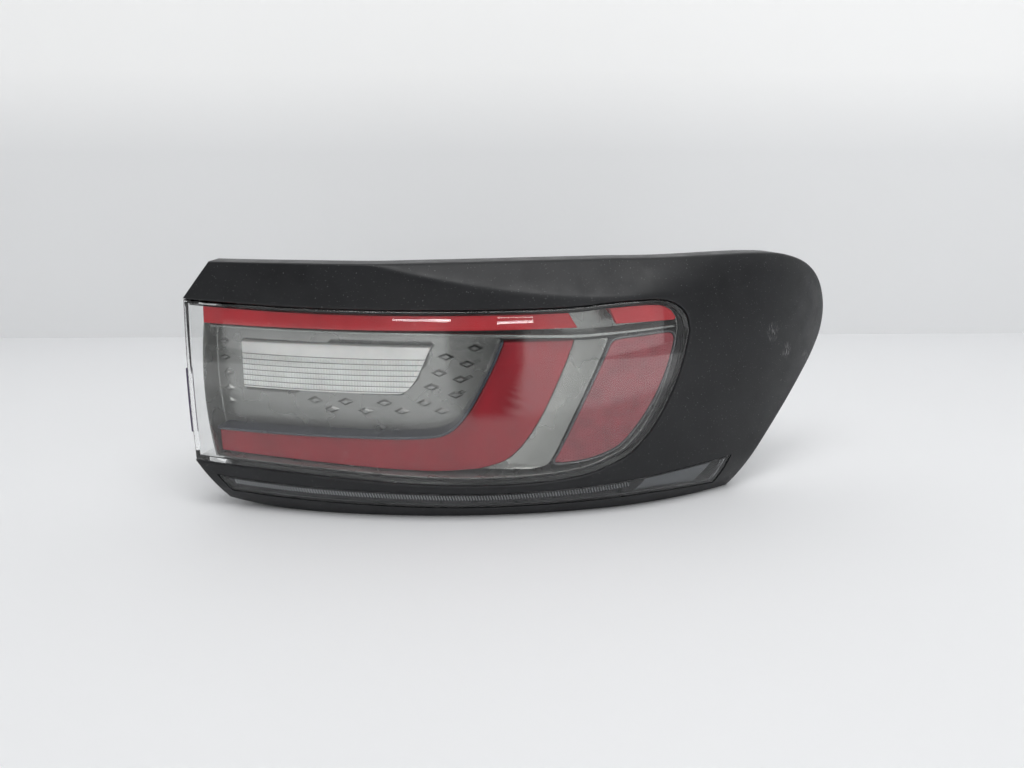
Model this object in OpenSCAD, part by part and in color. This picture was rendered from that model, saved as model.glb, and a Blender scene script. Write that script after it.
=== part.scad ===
// Tail light cluster for the right rear corner of a car, all LED.
// +X points from the tailgate end to the side nose, +Y into the car and +Z up.
// Every moulded piece follows one face, the styled skin, at its own depth behind it.
// An outline is two rows of [x, z] points, an upper side and a lower side.

/* [Overall size] */
// Width from the tailgate end to the tip of the nose
lamp_w = 520; // [500:5:530]
// Height from the standing edge to the top edge
lamp_h = 196; // [190:2:202]

/* [Face] */
// Plan radius of the rear face
front_r = 600; // [580:5:640]
// Plan radius where the lamp wraps round to the side
side_r = 350; // [340:2:364]
// Place of the foremost line of the face
crest_x = -67; // [-72:1:-62]
// Place where the plan curve tightens
knee_x = 48; // [44:1:52]
// Undercut at the standing edge
undercut = 13; // [11:1:15]
// Lean of the face above its belt line
top_lean = 10; // [8:1:12]
// Steepness of the haunch above the crease
haunch_lean = 0.9; // [0.7:0.05:1]

/* [Cover panel] */
// Wall of the cover panel
cover_wall = 3; // [2.6:0.1:3.2]
// Depth of the return flange round the outer edge
cover_return = 14; // [12:0.5:16]
// Depth of the lip round the lens opening
cover_lip = 8; // [6:0.5:9]
// Gap between the lens and the cover panel
lens_gap = 0.7; // [0.5:0.1:0.9]
// Radius of a screw tower
tower_r = 4; // [3.6:0.1:4.4]

/* [Outer lens] */
// Wall of the outer lens
lens_wall = 3; // [2.6:0.1:3.2]
// Depth of the side wall of the lens
lens_depth = 16; // [15:0.5:17]
// Extra depth of the clear side wall at the tailgate end
end_depth = 14; // [12:0.5:15]
// Rounding of the front edge
lens_edge = 1.5; // [1:0.1:1.8]
// Thickness of the seal between lens and housing
seal_t = 1.8; // [1.6:0.1:2]

/* [Housing] */
// Wall of the housing
housing_wall = 3; // [2.6:0.1:3.2]
// Distance from the foremost line to the back of the housing
housing_back = 87; // [86:0.5:90]
// Width of the flange round the mouth
flange_w = 6; // [5:0.5:6.5]
// Thickness of the flange
flange_t = 3; // [2.5:0.1:3.5]

/* [Inner optics] */
// Depth of the bezel field behind the face
field_depth = 25; // [24:0.5:26]
// Wall of the bezel
bezel_wall = 2; // [1.6:0.1:2.2]
// Width of the rim round the bezel
rim_w = 1.2; // [1:0.1:1.4]
// Depth of the rim at its lower side
rim_low = 6; // [5:0.5:8]
// Depth of the rim at its upper side, behind the lips of the light guides
rim_high = 11; // [11:0.5:12]
// Depth of the lips of the upper and end light guides
lip_depth = 5; // [4.5:0.5:6]
// Width of those lips
lip_w = 2.8; // [2.6:0.1:3.2]
// Thickness of those lips
lip_t = 5; // [3:0.5:5]
// Depth of the divider trim
divider_depth = 9; // [8:0.5:10]
// Depth of the hook shaped light guide
hook_depth = 12; // [11:0.5:14]
// Depth of the reflex reflector
reflex_depth = 7; // [6.5:0.5:9]
// Depth of the side bezel along the reflex reflector
side_depth = 8.5; // [8:0.5:10]
// How much deeper the side bezel lies along the hook
side_fall = 5.5; // [4:0.5:7]
// Depth of the reversing optic
optic_depth = 21; // [20:0.5:22]
// Clearance between pieces that seat on each other
seat = 0.3; // [0.2:0.05:0.4]

/* [Lower strip] */
// Wall of the strip lens
strip_wall = 2.2; // [2:0.1:2.4]
// Depth of the carrier behind the strip lens
strip_depth = 18; // [17:0.5:20]
// Teeth along the strip light guide
strip_teeth = 60; // [40:1:66]
// Height of a tooth
tooth_h = 1.2; // [0.8:0.1:1.4]
// Depth of the strip light guide and of the reflector beside it
strip_guide_depth = 4.5; // [4:0.5:8]

/* [Electronics] */
// Thickness of a circuit board
board_t = 1.6; // [1.2:0.1:2]
// Distance from the foremost line to the reversing board
reverse_board_y = 68.3; // [68.3:0.1:70]
// Distance from the foremost line to the tail boards
tail_board_y = 64; // [63.5:0.1:65]
// Width of the control module
module_w = 94; // [88:1:98]
// Height of the control module
module_h = 58; // [54:1:60]
// Thickness of the control module
module_t = 17; // [14:1:20]
// Width of the heat sink plate
sink_w = 128; // [120:1:132]
// Height of the heat sink plate
sink_h = 50; // [48:1:52]
// Height of the cooling fins
fin_h = 13; // [8:1:16]
// Number of cooling fins
fins = 13; // [9:1:15]

/* [Connector] */
// Outer width of the connector socket
socket_w = 30; // [28:1:32]
// Outer height of the connector socket
socket_h = 20; // [18:1:21]
// Length of the connector socket
socket_l = 24; // [22:1:27]
// Wall of the connector socket
socket_wall = 1.8; // [1.5:0.1:2]

/* [Fixing] */
// Radius of the thread of a fixing stud
stud_r = 3; // [2.5:0.1:3.5]
// Free length of a fixing stud
stud_l = 22; // [18:1:26]
// Radius of the boss under a fixing stud
boss_r = 9; // [8:0.5:9.5]
// Height of the boss under a fixing stud
boss_h = 8; // [7:0.5:10]
// Radius of the locating pin in the nose
pin_r = 4; // [3.5:0.1:4.5]
// Free length of the locating pin
pin_l = 16; // [14:1:18]
// Thickness of the foot bracket
foot_t = 3; // [2.5:0.1:3.5]
// Width of the foot bracket
foot_w = 70; // [60:1:76]
// Reach of the foot behind the housing
foot_reach = 22; // [18:1:26]

/* [Hidden] */

// Size at which the outlines below are drawn
drawn_w = 520;
drawn_h = 196;
scale_x = lamp_w / drawn_w;
scale_z = lamp_h / drawn_h;

// Smoothness of round solids
$fn = 48;

// The styled face

function lerp(a, b, t) = a + (b - a) * t;
function clamp(t) = max(0, min(1, t));

knee_s = (knee_x - crest_x) / front_r;
knee_c = sqrt(1 - knee_s * knee_s);
knee_y = front_r * (1 - knee_c);

// Sine of the plan slope at x
function slope(x) = x <= knee_x ? (x - crest_x) / front_r : knee_s + (x - knee_x) / side_r;
function slope_c(x) = sqrt(1 - slope(x) * slope(x));
function plan_y(x) = x <= knee_x
    ? front_r * (1 - slope_c(x))
    : knee_y + side_r * (knee_c - slope_c(x));

// The belt where the face stands furthest out
belt_low = 34 * scale_z;
belt_high = 60 * scale_z;
belt_reach = 100;

// The crease starts at the top edge and runs down to the lens
crease_end_x = 67 * scale_x;
crease_end_z = 170 * scale_z;
crease_run = 180 * scale_x;
crease_rise = 26 * scale_z;
crease_bend = 1.6;
function crease_z(x) = crease_end_z + (x < crease_end_x
    ? crease_rise * pow((crease_end_x - x) / crease_run, crease_bend)
    : 0);

// Right of the crease the haunch melts into the nose
haunch_run = 120;
haunch_soft = 30;
haunch_loss = 0.55;
function haunch(x, z) = let (
        h = max(0, z - crease_z(x)),
        f = clamp((x - crease_end_x) / haunch_run)
    ) haunch_lean * (1 - haunch_loss * f) * lerp(h, h * h / haunch_soft, f);

function recess(x, z) = undercut * pow(max(0, belt_low - z) / belt_low, 2)
    + top_lean * pow(max(0, z - belt_high) / belt_reach, 2)
    + haunch(x, z);

// Curves and outlines

function styled(points) = [for (p = points) [p.x * scale_x, p.y * scale_z]];

function curve_point(a, b, c, d, t) = (2 * b + (c - a) * t
    + (2 * a - 5 * b + 4 * c - d) * t * t
    + (3 * b - a - 3 * c + d) * t * t * t) / 2;

// A smooth curve through hand set points
curve_steps = 6;
function curve(p) = let (last = len(p) - 1) [
    for (i = [0 : last - 1], k = [0 : curve_steps - 1])
        curve_point(p[max(i - 1, 0)], p[i], p[i + 1], p[min(i + 2, last)], k / curve_steps),
    p[last]
];

function reverse(list) = [for (i = [len(list) - 1 : -1 : 0]) list[i]];

function run_lengths(path) = [
    for (
        i = 0, s = 0;
        i < len(path);
        s = s + (i + 1 < len(path) ? norm(path[i + 1] - path[i]) : 0), i = i + 1
    ) s
];

// Points of a path at the given shares of its length
function points_at(path, shares) = let (
        runs = run_lengths(path),
        total = runs[len(runs) - 1],
        row_x = [for (i = [0 : len(path) - 1]) [runs[i], path[i].x]],
        row_z = [for (i = [0 : len(path) - 1]) [runs[i], path[i].y]]
    ) [for (share = shares) [lookup(share * total, row_x), lookup(share * total, row_z)]];

// Even steps between two shares of a path
function stretch(path, from, to, steps) =
    points_at(path, [for (i = [0 : steps]) lerp(from, to, i / steps)]);

// Stations along a whole path: each knot is [share of the length, steps up to it]
function spread(path, knots) = points_at(path, [
    for (k = [0 : len(knots) - 1], i = [0 : knots[k][1] - 1])
        lerp(k == 0 ? 0 : knots[k - 1][0], knots[k][0], i / knots[k][1]),
    1
]);

// Points of a clockwise loop moved inwards by a
function inward(e) = [e.y, -e.x] / norm(e);
function inset_loop(loop, a) = let (n = len(loop)) [
    for (i = [0 : n - 1]) let (
        before = inward(loop[i] - loop[(i + n - 1) % n]),
        after = inward(loop[(i + 1) % n] - loop[i])
    ) loop[i] + a * (before + after) / (1 + before * after)
];

// An open path moved to its right hand side by a, as seen along the path
function shifted(path, a) = let (last = len(path) - 1) [
    for (i = [0 : last]) let (
        before = inward(path[max(i, 1)] - path[max(i, 1) - 1]),
        after = inward(path[min(i, last - 1) + 1] - path[min(i, last - 1)])
    ) path[i] + a * (before + after) / (1 + before * after)
];

// A path whose first point is moved on by cut
function trimmed(path, cut) = concat(
    [path[0] + cut * (path[1] - path[0]) / norm(path[1] - path[0])],
    [for (i = [1 : len(path) - 1]) path[i]]
);

// An outline is [upper side, lower side, bow of its right hand edge, bow of its left hand edge]
function outline(upper, lower, bow = 0, left_bow = 0) = [upper, lower, bow, left_bow];
function inset(sides, a) = let (
        n = len(sides[0]),
        loop = inset_loop(concat(sides[0], reverse(sides[1])), a)
    ) [
        [for (i = [0 : n - 1]) loop[i]],
        [for (i = [0 : n - 1]) loop[2 * n - 1 - i]],
        sides[2],
        sides[3]
    ];

// The two edges bow out, and each bow dies away across the outline
bow_fade = 5;
function across(sides, i, t) = let (
        n = len(sides[0]) - 1,
        a = sides[0][i],
        b = sides[1][i],
        bow = sides[2] * pow(i / n, bow_fade) - sides[3] * pow(1 - i / n, bow_fade)
    ) lerp(a, b, t) - inward(b - a) * 4 * t * (1 - t) * bow;

// The whole edge from the upper left corner clockwise to the lower left one
function wrap(sides, steps) = let (last = len(sides[0]) - 1) concat(
    sides[0],
    [for (j = [1 : steps - 1]) across(sides, last, j / steps)],
    reverse(sides[1])
);

// Solids between outlines

// Left of here the lens wall deepens towards the tailgate end
deep_from = -215 * scale_x;
deep_run = lamp_w / 2 + deep_from;
function deepening(x) = pow(clamp((deep_from - x) / deep_run), 2);

// A layer is [inset, depth at upper side, depth at lower side, extra depth at the left end],
// or [inset, undef, undef, undef, distance of a flat plane]
function layer(a, upper, lower = undef, left = 0) = [a, upper, is_undef(lower) ? upper : lower, left];
function flat_layer(a, y) = [a, undef, undef, undef, y];

function skin(p, d) = [
    p.x - slope(p.x) * d,
    front_y + plan_y(p.x) + recess(p.x, p.y) + slope_c(p.x) * d,
    p.y
];
function placed(p, e, t) = is_undef(e[4])
    ? skin(p, lerp(e[1], e[2], t) + e[3] * deepening(p.x))
    : [p.x, front_y + e[4], p.y];

function loop_place(i, j, n, m) = j == 0 ? i
    : i == n ? n + j
    : j == m ? 2 * n + m - i
    : 2 * n + 2 * m - j;

function edge_points(sides, e, n, m) = let (s = inset(sides, e[0])) [
    for (i = [0 : n]) placed(across(s, i, 0), e, 0),
    for (j = [1 : m - 1]) placed(across(s, n, j / m), e, j / m),
    for (i = [n : -1 : 0]) placed(across(s, i, 1), e, 1),
    for (j = [m - 1 : -1 : 1]) placed(across(s, 0, j / m), e, j / m)
];
function face_points(sides, e, n, m) = let (s = inset(sides, e[0])) [
    for (i = [1 : n - 1], j = [1 : m - 1]) placed(across(s, i, j / m), e, j / m)
];

// Two triangles over a four cornered cell
function cell(a, b, c, d) = [[a, b, c], [a, c, d]];

// Closed solid over a stack of layers. The first layer is its front face and the last its back
// face, unless it is a ring, whose last layer joins its first.
module stack(sides, layers, rows, ring = false) {
    n = len(sides[0]) - 1;
    m = rows;
    edge = 2 * (n + m);
    count = len(layers);
    inner = (n - 1) * (m - 1);
    function at(k, i, j) = i > 0 && i < n && j > 0 && j < m
        ? count * edge + (k == 0 ? 0 : inner) + (i - 1) * (m - 1) + j - 1
        : k * edge + loop_place(i, j, n, m);
    points = concat(
        [for (e = layers) each edge_points(sides, e, n, m)],
        ring ? [] : face_points(sides, layers[0], n, m),
        ring ? [] : face_points(sides, layers[count - 1], n, m)
    );
    walls = [
        for (k = [0 : ring ? count - 1 : count - 2], l = [0 : edge - 1]) let (
            a = k * edge,
            b = ((k + 1) % count) * edge,
            next = (l + 1) % edge
        ) each cell(a + l, b + l, b + next, a + next)
    ];
    faces = ring ? [] : [
        for (i = [0 : n - 1], j = [0 : m - 1]) each concat(
            cell(at(0, i, j), at(0, i + 1, j), at(0, i + 1, j + 1), at(0, i, j + 1)),
            cell(at(count - 1, i, j), at(count - 1, i, j + 1),
                at(count - 1, i + 1, j + 1), at(count - 1, i + 1, j))
        )
    ];
    polyhedron(points, concat(walls, faces));
}

// Box between two corners, its y measured from the foremost line
module box(low, high) {
    translate([low.x, front_y + low.y, low.z]) cube(high - low);
}

// Round bar along Y at [x, z]
module bar(at, r, from, to) {
    translate([at.x, front_y + from, at.y]) rotate([-90, 0, 0]) cylinder(r = r, h = to - from);
}

// Outlines of the pieces that show

lens_upper = curve(styled([
    [-260, 165], [-150, 163.5], [-40, 163.5], [29, 164], [59, 166], [88, 166.5],
    [103, 165], [114, 160], [120.5, 152], [123, 142]
]));
lens_lower = curve(styled([
    [-260, 40], [-173, 37.5], [-96, 33], [-44, 31], [8, 32], [43, 36],
    [62, 42], [79, 50.5], [93, 65]
]));
lens_sides = outline(
    spread(lens_upper, [[0.86, 17], [1, 9]]),
    spread(lens_lower, [[0.86, 17], [1, 9]]),
    5
);

// The inner edge of the cover runs round the lens, the outer edge round the nose
lens_rim_steps = 8;
cover_top_path = curve(styled([
    [-238, 194], [-170, 195.5], [-95, 196], [0, 195.3], [90, 194], [150, 193.6], [185, 192],
    [212, 187.5], [236, 177], [252.8, 160], [260.9, 138], [258.9, 118], [248.5, 100], [231, 79],
    [207, 50], [186, 24], [168, 0]
]));
cover_foot_path = concat(
    styled([[168, 0], [-170, 0]]),
    curve(styled([[-171, 0.1], [-205, 2], [-236, 7]]))
);
foot_steps = 18;
cover_sides = outline(
    concat(
        spread(cover_top_path, [[0.47, 13], [1, 22]]),
        stretch(cover_foot_path, 1 / foot_steps, 1, foot_steps - 1)
    ),
    spread(wrap(inset(lens_sides, -lens_gap), lens_rim_steps), [
        [0.415, 13], [0.62, 22], [0.68, 5], [1, foot_steps - 5]
    ])
);

// The return flange at the nose is the furthest point back
rear_reach = max([
    for (p = cover_sides[0]) plan_y(p.x) + recess(p.x, p.y) + slope_c(p.x) * cover_return
]);
front_y = -rear_reach / 2;

// The bezel leaves the clear end wall of the lens free
bezel_gap = 0.6;
bezel_end_gap = 12;
bezel_foot_gap = 15;
bezel_end_bow = 5;
bezel_in = inset(lens_sides, lens_wall + bezel_gap);
bezel_sides = outline(
    trimmed(bezel_in[0], bezel_end_gap - lens_wall - bezel_gap),
    trimmed(bezel_in[1], bezel_foot_gap - lens_wall - bezel_gap),
    lens_sides[2],
    bezel_end_bow
);

housing_sides = outline(
    trimmed(lens_sides[0], flange_w), trimmed(lens_sides[1], flange_w), lens_sides[2]
);

hook_bend = curve(styled([
    [36, 138], [33.4, 130], [29.2, 119.5], [20.8, 100], [12, 81.7], [0.6, 63.2], [-8.7, 52.3],
    [-19, 45.4], [-36, 40.5]
]));
hook_arm = curve(styled([
    [-36, 40.5], [-67, 38.6], [-98, 39.6], [-138, 41.8], [-178, 44], [-220, 45.4], [-243, 46]
]));
hook_inner = curve(styled([
    [-17, 138], [-20.5, 129], [-26.5, 116], [-34.5, 100.6], [-42.5, 87], [-51.5, 75.6], [-61, 68.6],
    [-75, 65.4], [-105, 64.4], [-152, 64.4], [-200, 64], [-243, 63.6]
]));
hook_sides = outline(
    concat(spread(hook_bend, [[1, 14]]), stretch(hook_arm, 0.1, 1, 9)),
    spread(hook_inner, [[0.5, 15], [1, 9]])
);
trim_gap = 0.7;
trim_w = 2.2;
trim_sides = outline(shifted(hook_sides[1], trim_gap), shifted(hook_sides[1], trim_gap + trim_w));

upper_guide_sides = outline(
    spread(curve(styled([[-246, 161.2], [-150, 160.1], [-40, 160.1], [29.5, 160.5]])), [[1, 14]]),
    spread(styled([[-246, 148], [37, 148.6]]), [[1, 14]])
);
end_guide_sides = outline(
    spread(curve(styled([[61, 161.4], [84, 162.6], [99, 161.6], [108.6, 157.6], [113.6, 151.6]])), [[1, 9]]),
    spread(styled([[66.5, 150], [112.6, 149.6]]), [[1, 9]])
);
divider_sides = outline(
    spread(curve(styled([
        [-243, 146.6], [-100, 146.4], [-37, 145.2], [24, 143.2], [49, 142.8], [115, 145]
    ])), [[1, 20]]),
    spread(curve(styled([
        [-243, 144.4], [-100, 144.2], [-37, 142.9], [24, 140.6], [49, 140.5], [115.6, 142.9]
    ])), [[1, 20]])
);
reflex_sides = outline(
    spread(curve(styled([
        [61.8, 131], [64.6, 136.2], [70, 138], [86, 139], [106, 140], [112, 138.8], [113.6, 134.4]
    ])), [[1, 12]]),
    spread(curve(styled([
        [25.5, 53.5], [21.8, 46.6], [26, 45], [46, 46.6], [62, 51.2], [72, 56.2], [79, 62.8]
    ])), [[1, 12]]),
    5.5
);
hook_play = 0.8;
side_bezel_sides = outline(
    spread(curve(styled([
        [61.4, 139], [59.4, 132.6], [51.5, 115], [43, 97], [32.7, 75], [23.2, 54.6], [18.8, 46.4],
        [14.4, 42.4], [2, 40]
    ])), [[1, 12]]),
    shifted(spread(hook_bend, [[1, 12]]), -hook_play)
);
optic_sides = outline(
    spread(styled([[-225, 132], [-150, 133], [-73, 132.4]]), [[1, 14]]),
    spread(curve(styled([[-225, 96.5], [-150, 96.5], [-104, 96.5], [-94, 98], [-88, 103.5], [-84, 110]])),
        [[1, 14]])
);

strip_upper = curve(styled([
    [-242, 29.4], [-174, 26.8], [-97, 25], [-45, 23.6], [8, 24.2], [61, 26.4], [129, 31.4], [166, 32.7]
]));
strip_lower = curve(styled([
    [-232, 15.8], [-177, 13.6], [-98, 11], [-45, 9.9], [26, 10.8], [88, 12], [125, 11], [153, 9]
]));
strip_sides = outline(spread(strip_upper, [[1, 22]]), spread(strip_lower, [[1, 22]]));
strip_guide_drop = 3;
strip_guide_h = 5;
strip_guide_path = stretch(strip_upper, 0.03, 0.79, 2 * strip_teeth);
strip_guide_top = shifted(strip_guide_path, strip_guide_drop);
strip_guide_sides = outline(
    [for (i = [0 : 2 * strip_teeth]) strip_guide_top[i] - [0, i % 2 * tooth_h]],
    shifted(strip_guide_path, strip_guide_drop + strip_guide_h)
);
strip_board_path = stretch(strip_upper, 0.85, 0.93, 4);
strip_board_drop = 5.4;
strip_board_h = 6;
strip_board_sides = outline(
    shifted(strip_board_path, strip_board_drop),
    shifted(strip_board_path, strip_board_drop + strip_board_h)
);
strip_reflector_edge = 3.2;
strip_reflector_wall = 1.2;
strip_reflector_sides = outline(
    shifted(stretch(strip_upper, 0.825, 0.965, 6), strip_reflector_edge),
    shifted(stretch(strip_lower, 0.825, 0.955, 6), -strip_reflector_edge)
);

strip_flange_w = 3;
strip_flange_t = 2;
strip_flange_depth = cover_wall + 0.8;
carrier_rim = strip_flange_depth + strip_flange_t + seat;

end_seal_w = 2;
end_seal_gap = 0.2;
end_seal_from = 1.8;
end_seal_to = 7;
end_seal_low = 62 * scale_z;
end_seal_high = 113 * scale_z;
end_seal_x = -lamp_w / 2 - end_seal_gap;
end_seal_sides = outline(
    [[end_seal_x - end_seal_w, end_seal_high], [end_seal_x, end_seal_high]],
    [[end_seal_x - end_seal_w, end_seal_low], [end_seal_x, end_seal_low]]
);

bracket_outer = stretch(inset(cover_sides, 12)[0], 0.37, 0.56, 12);
bracket_inner = stretch(wrap(inset(lens_sides, -2), lens_rim_steps), 0.44, 0.6, 12);
bracket_sides = outline(bracket_outer, bracket_inner);
bracket_t = 2.5;

// Places on the back of the housing

function spot(x, z) = [x * scale_x, z * scale_z];
housing_floor = housing_back - housing_wall;
rim_depth = lens_depth + seal_t;
guide_back = field_depth - seat;
bezel_back = field_depth + bezel_wall;

optic_spot = spot(-150, 114.5);
module_spot = spot(-6, 105);
socket_spot = spot(67, 100);
stud_inner_spot = spot(-75.5, 124);
stud_outer_spot = spot(72, 132);
vent_spots = [spot(-222, 112), spot(-75.5, 84)];
foot_spot = spot(-150, 51);
pin_spot = spot(200, 132);
tower_spots = [spot(-185, 180), spot(-45, 180), spot(95, 180)];

tail_board = [spot(-128, 54.5), 214 * scale_x, 13 * scale_z];
upper_board = [spot(-70, 150.5), 330 * scale_x, 10 * scale_z];
side_board = [spot(8, 102), 44 * scale_x, 62 * scale_z];
reverse_board = [optic_spot, 122 * scale_x, 30 * scale_z];
post_r = 3.2;
pilot_r = 1.1;
pilot_l = 8;
screw_r = 0.95;
head_r = 2.6;
head_h = 1.8;
hole_play = 0.35;
board_inset = 5;

// Fixing places of a board: two at its ends, or four on a broad one
function board_holes(b) = let (
        dx = b[1] / 2 - board_inset,
        dz = b[2] > 40 ? b[2] / 2 - board_inset : 0
    ) [for (sx = [-1, 1], sz = dz == 0 ? [0] : [-1, 1]) b[0] + [sx * dx, sz * dz]];
tail_boards = [tail_board, upper_board, side_board];

ear_out = 1;
ear_r = 5;
ear_t = 3;
ear_low = 10;
function module_holes() = [
    for (sx = [-1, 1], sz = [-1, 1])
        module_spot + [sx * (module_w / 2 + ear_out), sz * (module_h / 2 - ear_low)]
];
function sink_holes() = [
    for (sx = [-1, 1], sz = [-1, 1])
        optic_spot + [sx * (sink_w / 2 - board_inset), sz * (sink_h / 2 - board_inset)]
];
foot_inset = 10;
function foot_holes() = [for (sx = [-1, 1]) foot_spot + [sx * (foot_w / 2 - foot_inset), 0]];

// Plane on which a tower of the cover meets its lug on the housing
lug_drop = 16;
lug_t = 3;
lug_w = 14;
lug_foot = 18.5;
lug_head = 6;
function lug_y(p) = plan_y(p.x) + recess(p.x, p.y) + lug_drop;
tower_bore = 1.35;
tower_start = cover_wall + 1.5;
cover_screw_r = 1.2;
cover_head_r = 3.4;

sink_plate_t = 2.5;
pedestal_w = 110;
pedestal_h = 24;
opening_play = 0.8;

module stud_boss(at) {
    difference() {
        bar(at, boss_r, housing_back - 1, housing_back + boss_h);
        bar(at, stud_r + seat, housing_back, housing_back + boss_h + 1);
    }
}

module post(at, r, from, bore_l) {
    difference() {
        bar(at, r, from, housing_floor + 1);
        bar(at, pilot_r, from - 1, from + bore_l);
    }
}

// Screw from the front, its head against a plane at y
module front_screw(at, y, reach) {
    bar(at, head_r, y - head_h, y);
    bar(at, screw_r, y - 0.1, y + reach);
}

// Screw from the back, its head against a plane at y
module back_screw(at, y, reach, r, head) {
    bar(at, head, y, y + 2.2);
    bar(at, r, y - reach, y + 0.1);
}

module board(b, y) {
    difference() {
        box([b[0].x - b[1] / 2, y, b[0].y - b[2] / 2], [b[0].x + b[1] / 2, y + board_t, b[0].y + b[2] / 2]);
        for (at = board_holes(b)) bar(at, screw_r + hole_play, y - 1, y + board_t + 1);
    }
}

// A row of light sources on the front of a board
led_w = 4.2;
led_h = 1.2;
module led_row(b, y, count, pitch, dz = 0) {
    for (i = [0 : count - 1]) {
        x = b[0].x - pitch * (count - 1) / 2 + i * pitch;
        z = b[0].y + dz;
        box([x - led_w / 2, y - led_h, z - led_w / 2], [x + led_w / 2, y, z + led_w / 2]);
    }
}

module cover_panel() {
    color([0.13, 0.13, 0.14]) {
        difference() {
            union() {
                stack(cover_sides, [
                    layer(1.2, 0),
                    layer(0, 1.2),
                    layer(0, cover_return, cover_lip),
                    layer(cover_wall, cover_return, cover_lip),
                    layer(cover_wall, cover_wall)
                ], 7);
                for (at = tower_spots) bar(at, tower_r, lug_y(at) - lug_drop + tower_start, lug_y(at));
            }
            stack(strip_sides, [layer(-0.4, -5), layer(-0.4, cover_wall + 2)], 1);
            for (at = tower_spots) bar(at, tower_bore, lug_y(at) - 9, lug_y(at) + 1);
        }
    }
}

module outer_lens() {
    color([0.75, 0.2, 0.2, 0.5]) stack(lens_sides, [
        layer(lens_edge, 0),
        layer(0, lens_edge),
        layer(0, lens_depth, lens_depth, end_depth),
        layer(lens_wall, lens_depth, lens_depth, end_depth),
        layer(lens_wall, lens_wall)
    ], 7);
}

seal_play = 0.25;
module lens_seal() {
    from = lens_depth + seal_play;
    to = rim_depth - 3 * seal_play;
    color([0.1, 0.1, 0.1]) stack(lens_sides, [
        layer(0.3, from, from, end_depth),
        layer(0.3, to, to, end_depth),
        layer(lens_wall - 0.3, to, to, end_depth),
        layer(lens_wall - 0.3, from, from, end_depth)
    ], 4, ring = true);
}

module housing() {
    color([0.2, 0.2, 0.21]) difference() {
        union() {
            stack(housing_sides, [
                flat_layer(housing_wall + 3, housing_floor),
                layer(housing_wall + 0.5, rim_depth, rim_depth, end_depth),
                layer(-flange_w, rim_depth, rim_depth, end_depth),
                layer(-flange_w, rim_depth + flange_t, rim_depth + flange_t, end_depth),
                layer(0, rim_depth + flange_t, rim_depth + flange_t, end_depth),
                flat_layer(3, housing_back)
            ], 4);
            for (at = tower_spots) box(
                [at.x - lug_w / 2, lug_y(at) + seat, at.y - lug_foot],
                [at.x + lug_w / 2, lug_y(at) + seat + lug_t, at.y + lug_head]
            );
            stud_boss(stud_inner_spot);
            stud_boss(stud_outer_spot);
            for (b = tail_boards, at = board_holes(b)) post(at, post_r, tail_board_y + board_t, pilot_l);
            for (at = concat(module_holes(), sink_holes(), foot_holes()))
                bar(at, post_r, housing_floor - 7, housing_floor + 1);
            for (at = vent_spots) bar(at, 4, housing_back - 1, housing_back + 5);
        }
        for (at = tower_spots) bar(at, cover_screw_r + hole_play, lug_y(at) - 1, lug_y(at) + 5);
        for (at = concat(module_holes(), sink_holes(), foot_holes()))
            bar(at, pilot_r, housing_back - pilot_l, housing_back + 1);
        for (at = vent_spots) bar(at, 2.2, housing_floor - 1, housing_back + 6);
        box(
            [optic_spot.x - pedestal_w / 2 - opening_play, housing_floor - 1,
                optic_spot.y - pedestal_h / 2 - opening_play],
            [optic_spot.x + pedestal_w / 2 + opening_play, housing_back + 1,
                optic_spot.y + pedestal_h / 2 + opening_play]
        );
        box(
            [socket_spot.x - socket_w / 2 + 2, housing_floor - 1, socket_spot.y - socket_h / 2 + 2],
            [socket_spot.x + socket_w / 2 - 2, housing_back + 1, socket_spot.y + socket_h / 2 - 2]
        );
    }
}

module inner_bezel() {
    color([0.3, 0.31, 0.32]) difference() {
        stack(bezel_sides, [
            layer(rim_w + 0.8, field_depth),
            layer(rim_w, rim_high, rim_low),
            layer(0, rim_high, rim_low),
            layer(1, bezel_back)
        ], 6);
        stack(optic_sides, [layer(-0.4, field_depth - 4), layer(-0.4, bezel_back + 4)], 1);
    }
}

// Light guide whose front lip is wider than its web and passes before the rim
module lipped_guide(sides) {
    stack(sides, [
        layer(0.8, lip_depth),
        layer(0, lip_depth + 0.8),
        layer(0, lip_depth + lip_t),
        layer(lip_w, lip_depth + lip_t),
        layer(lip_w + 0.6, guide_back)
    ], 2);
}

module upper_light_guide() {
    color([0.8, 0.05, 0.05]) lipped_guide(upper_guide_sides);
}

module hook_light_guide() {
    color([0.7, 0.03, 0.05]) stack(hook_sides, [
        layer(0.8, hook_depth),
        layer(0, hook_depth + 0.8),
        layer(0.6, guide_back)
    ], 4);
}

module end_light_guide() {
    color([0.8, 0.05, 0.05]) lipped_guide(end_guide_sides);
}

module hook_trim() {
    color([0.25, 0.25, 0.27]) stack(trim_sides, [layer(0.3, hook_depth - 3), layer(0, guide_back)], 1);
}

module divider_trim() {
    color([0.35, 0.35, 0.36]) stack(divider_sides, [layer(0.4, divider_depth), layer(0, guide_back)], 1);
}

module side_bezel() {
    color([0.42, 0.43, 0.43])
        stack(side_bezel_sides, [
            layer(0.6, side_depth, side_depth + side_fall),
            layer(0, side_depth + 0.6, side_depth + side_fall + 0.6),
            layer(0, guide_back)
        ], 2);
}

module reflex_reflector() {
    color([0.75, 0.05, 0.1]) stack(reflex_sides, [
        layer(0.6, reflex_depth),
        layer(0, reflex_depth + 0.6),
        layer(0, reflex_depth + 6)
    ], 4);
}

frame_gap = 0.5;
frame_w = 1.2;
module reflex_frame() {
    color([0.2, 0.2, 0.22]) stack(reflex_sides, [
        layer(-frame_gap - frame_w, reflex_depth - 0.6),
        layer(-frame_gap - frame_w, guide_back),
        layer(-frame_gap, guide_back),
        layer(-frame_gap, reflex_depth - 0.6)
    ], 6, ring = true);
}

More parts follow.
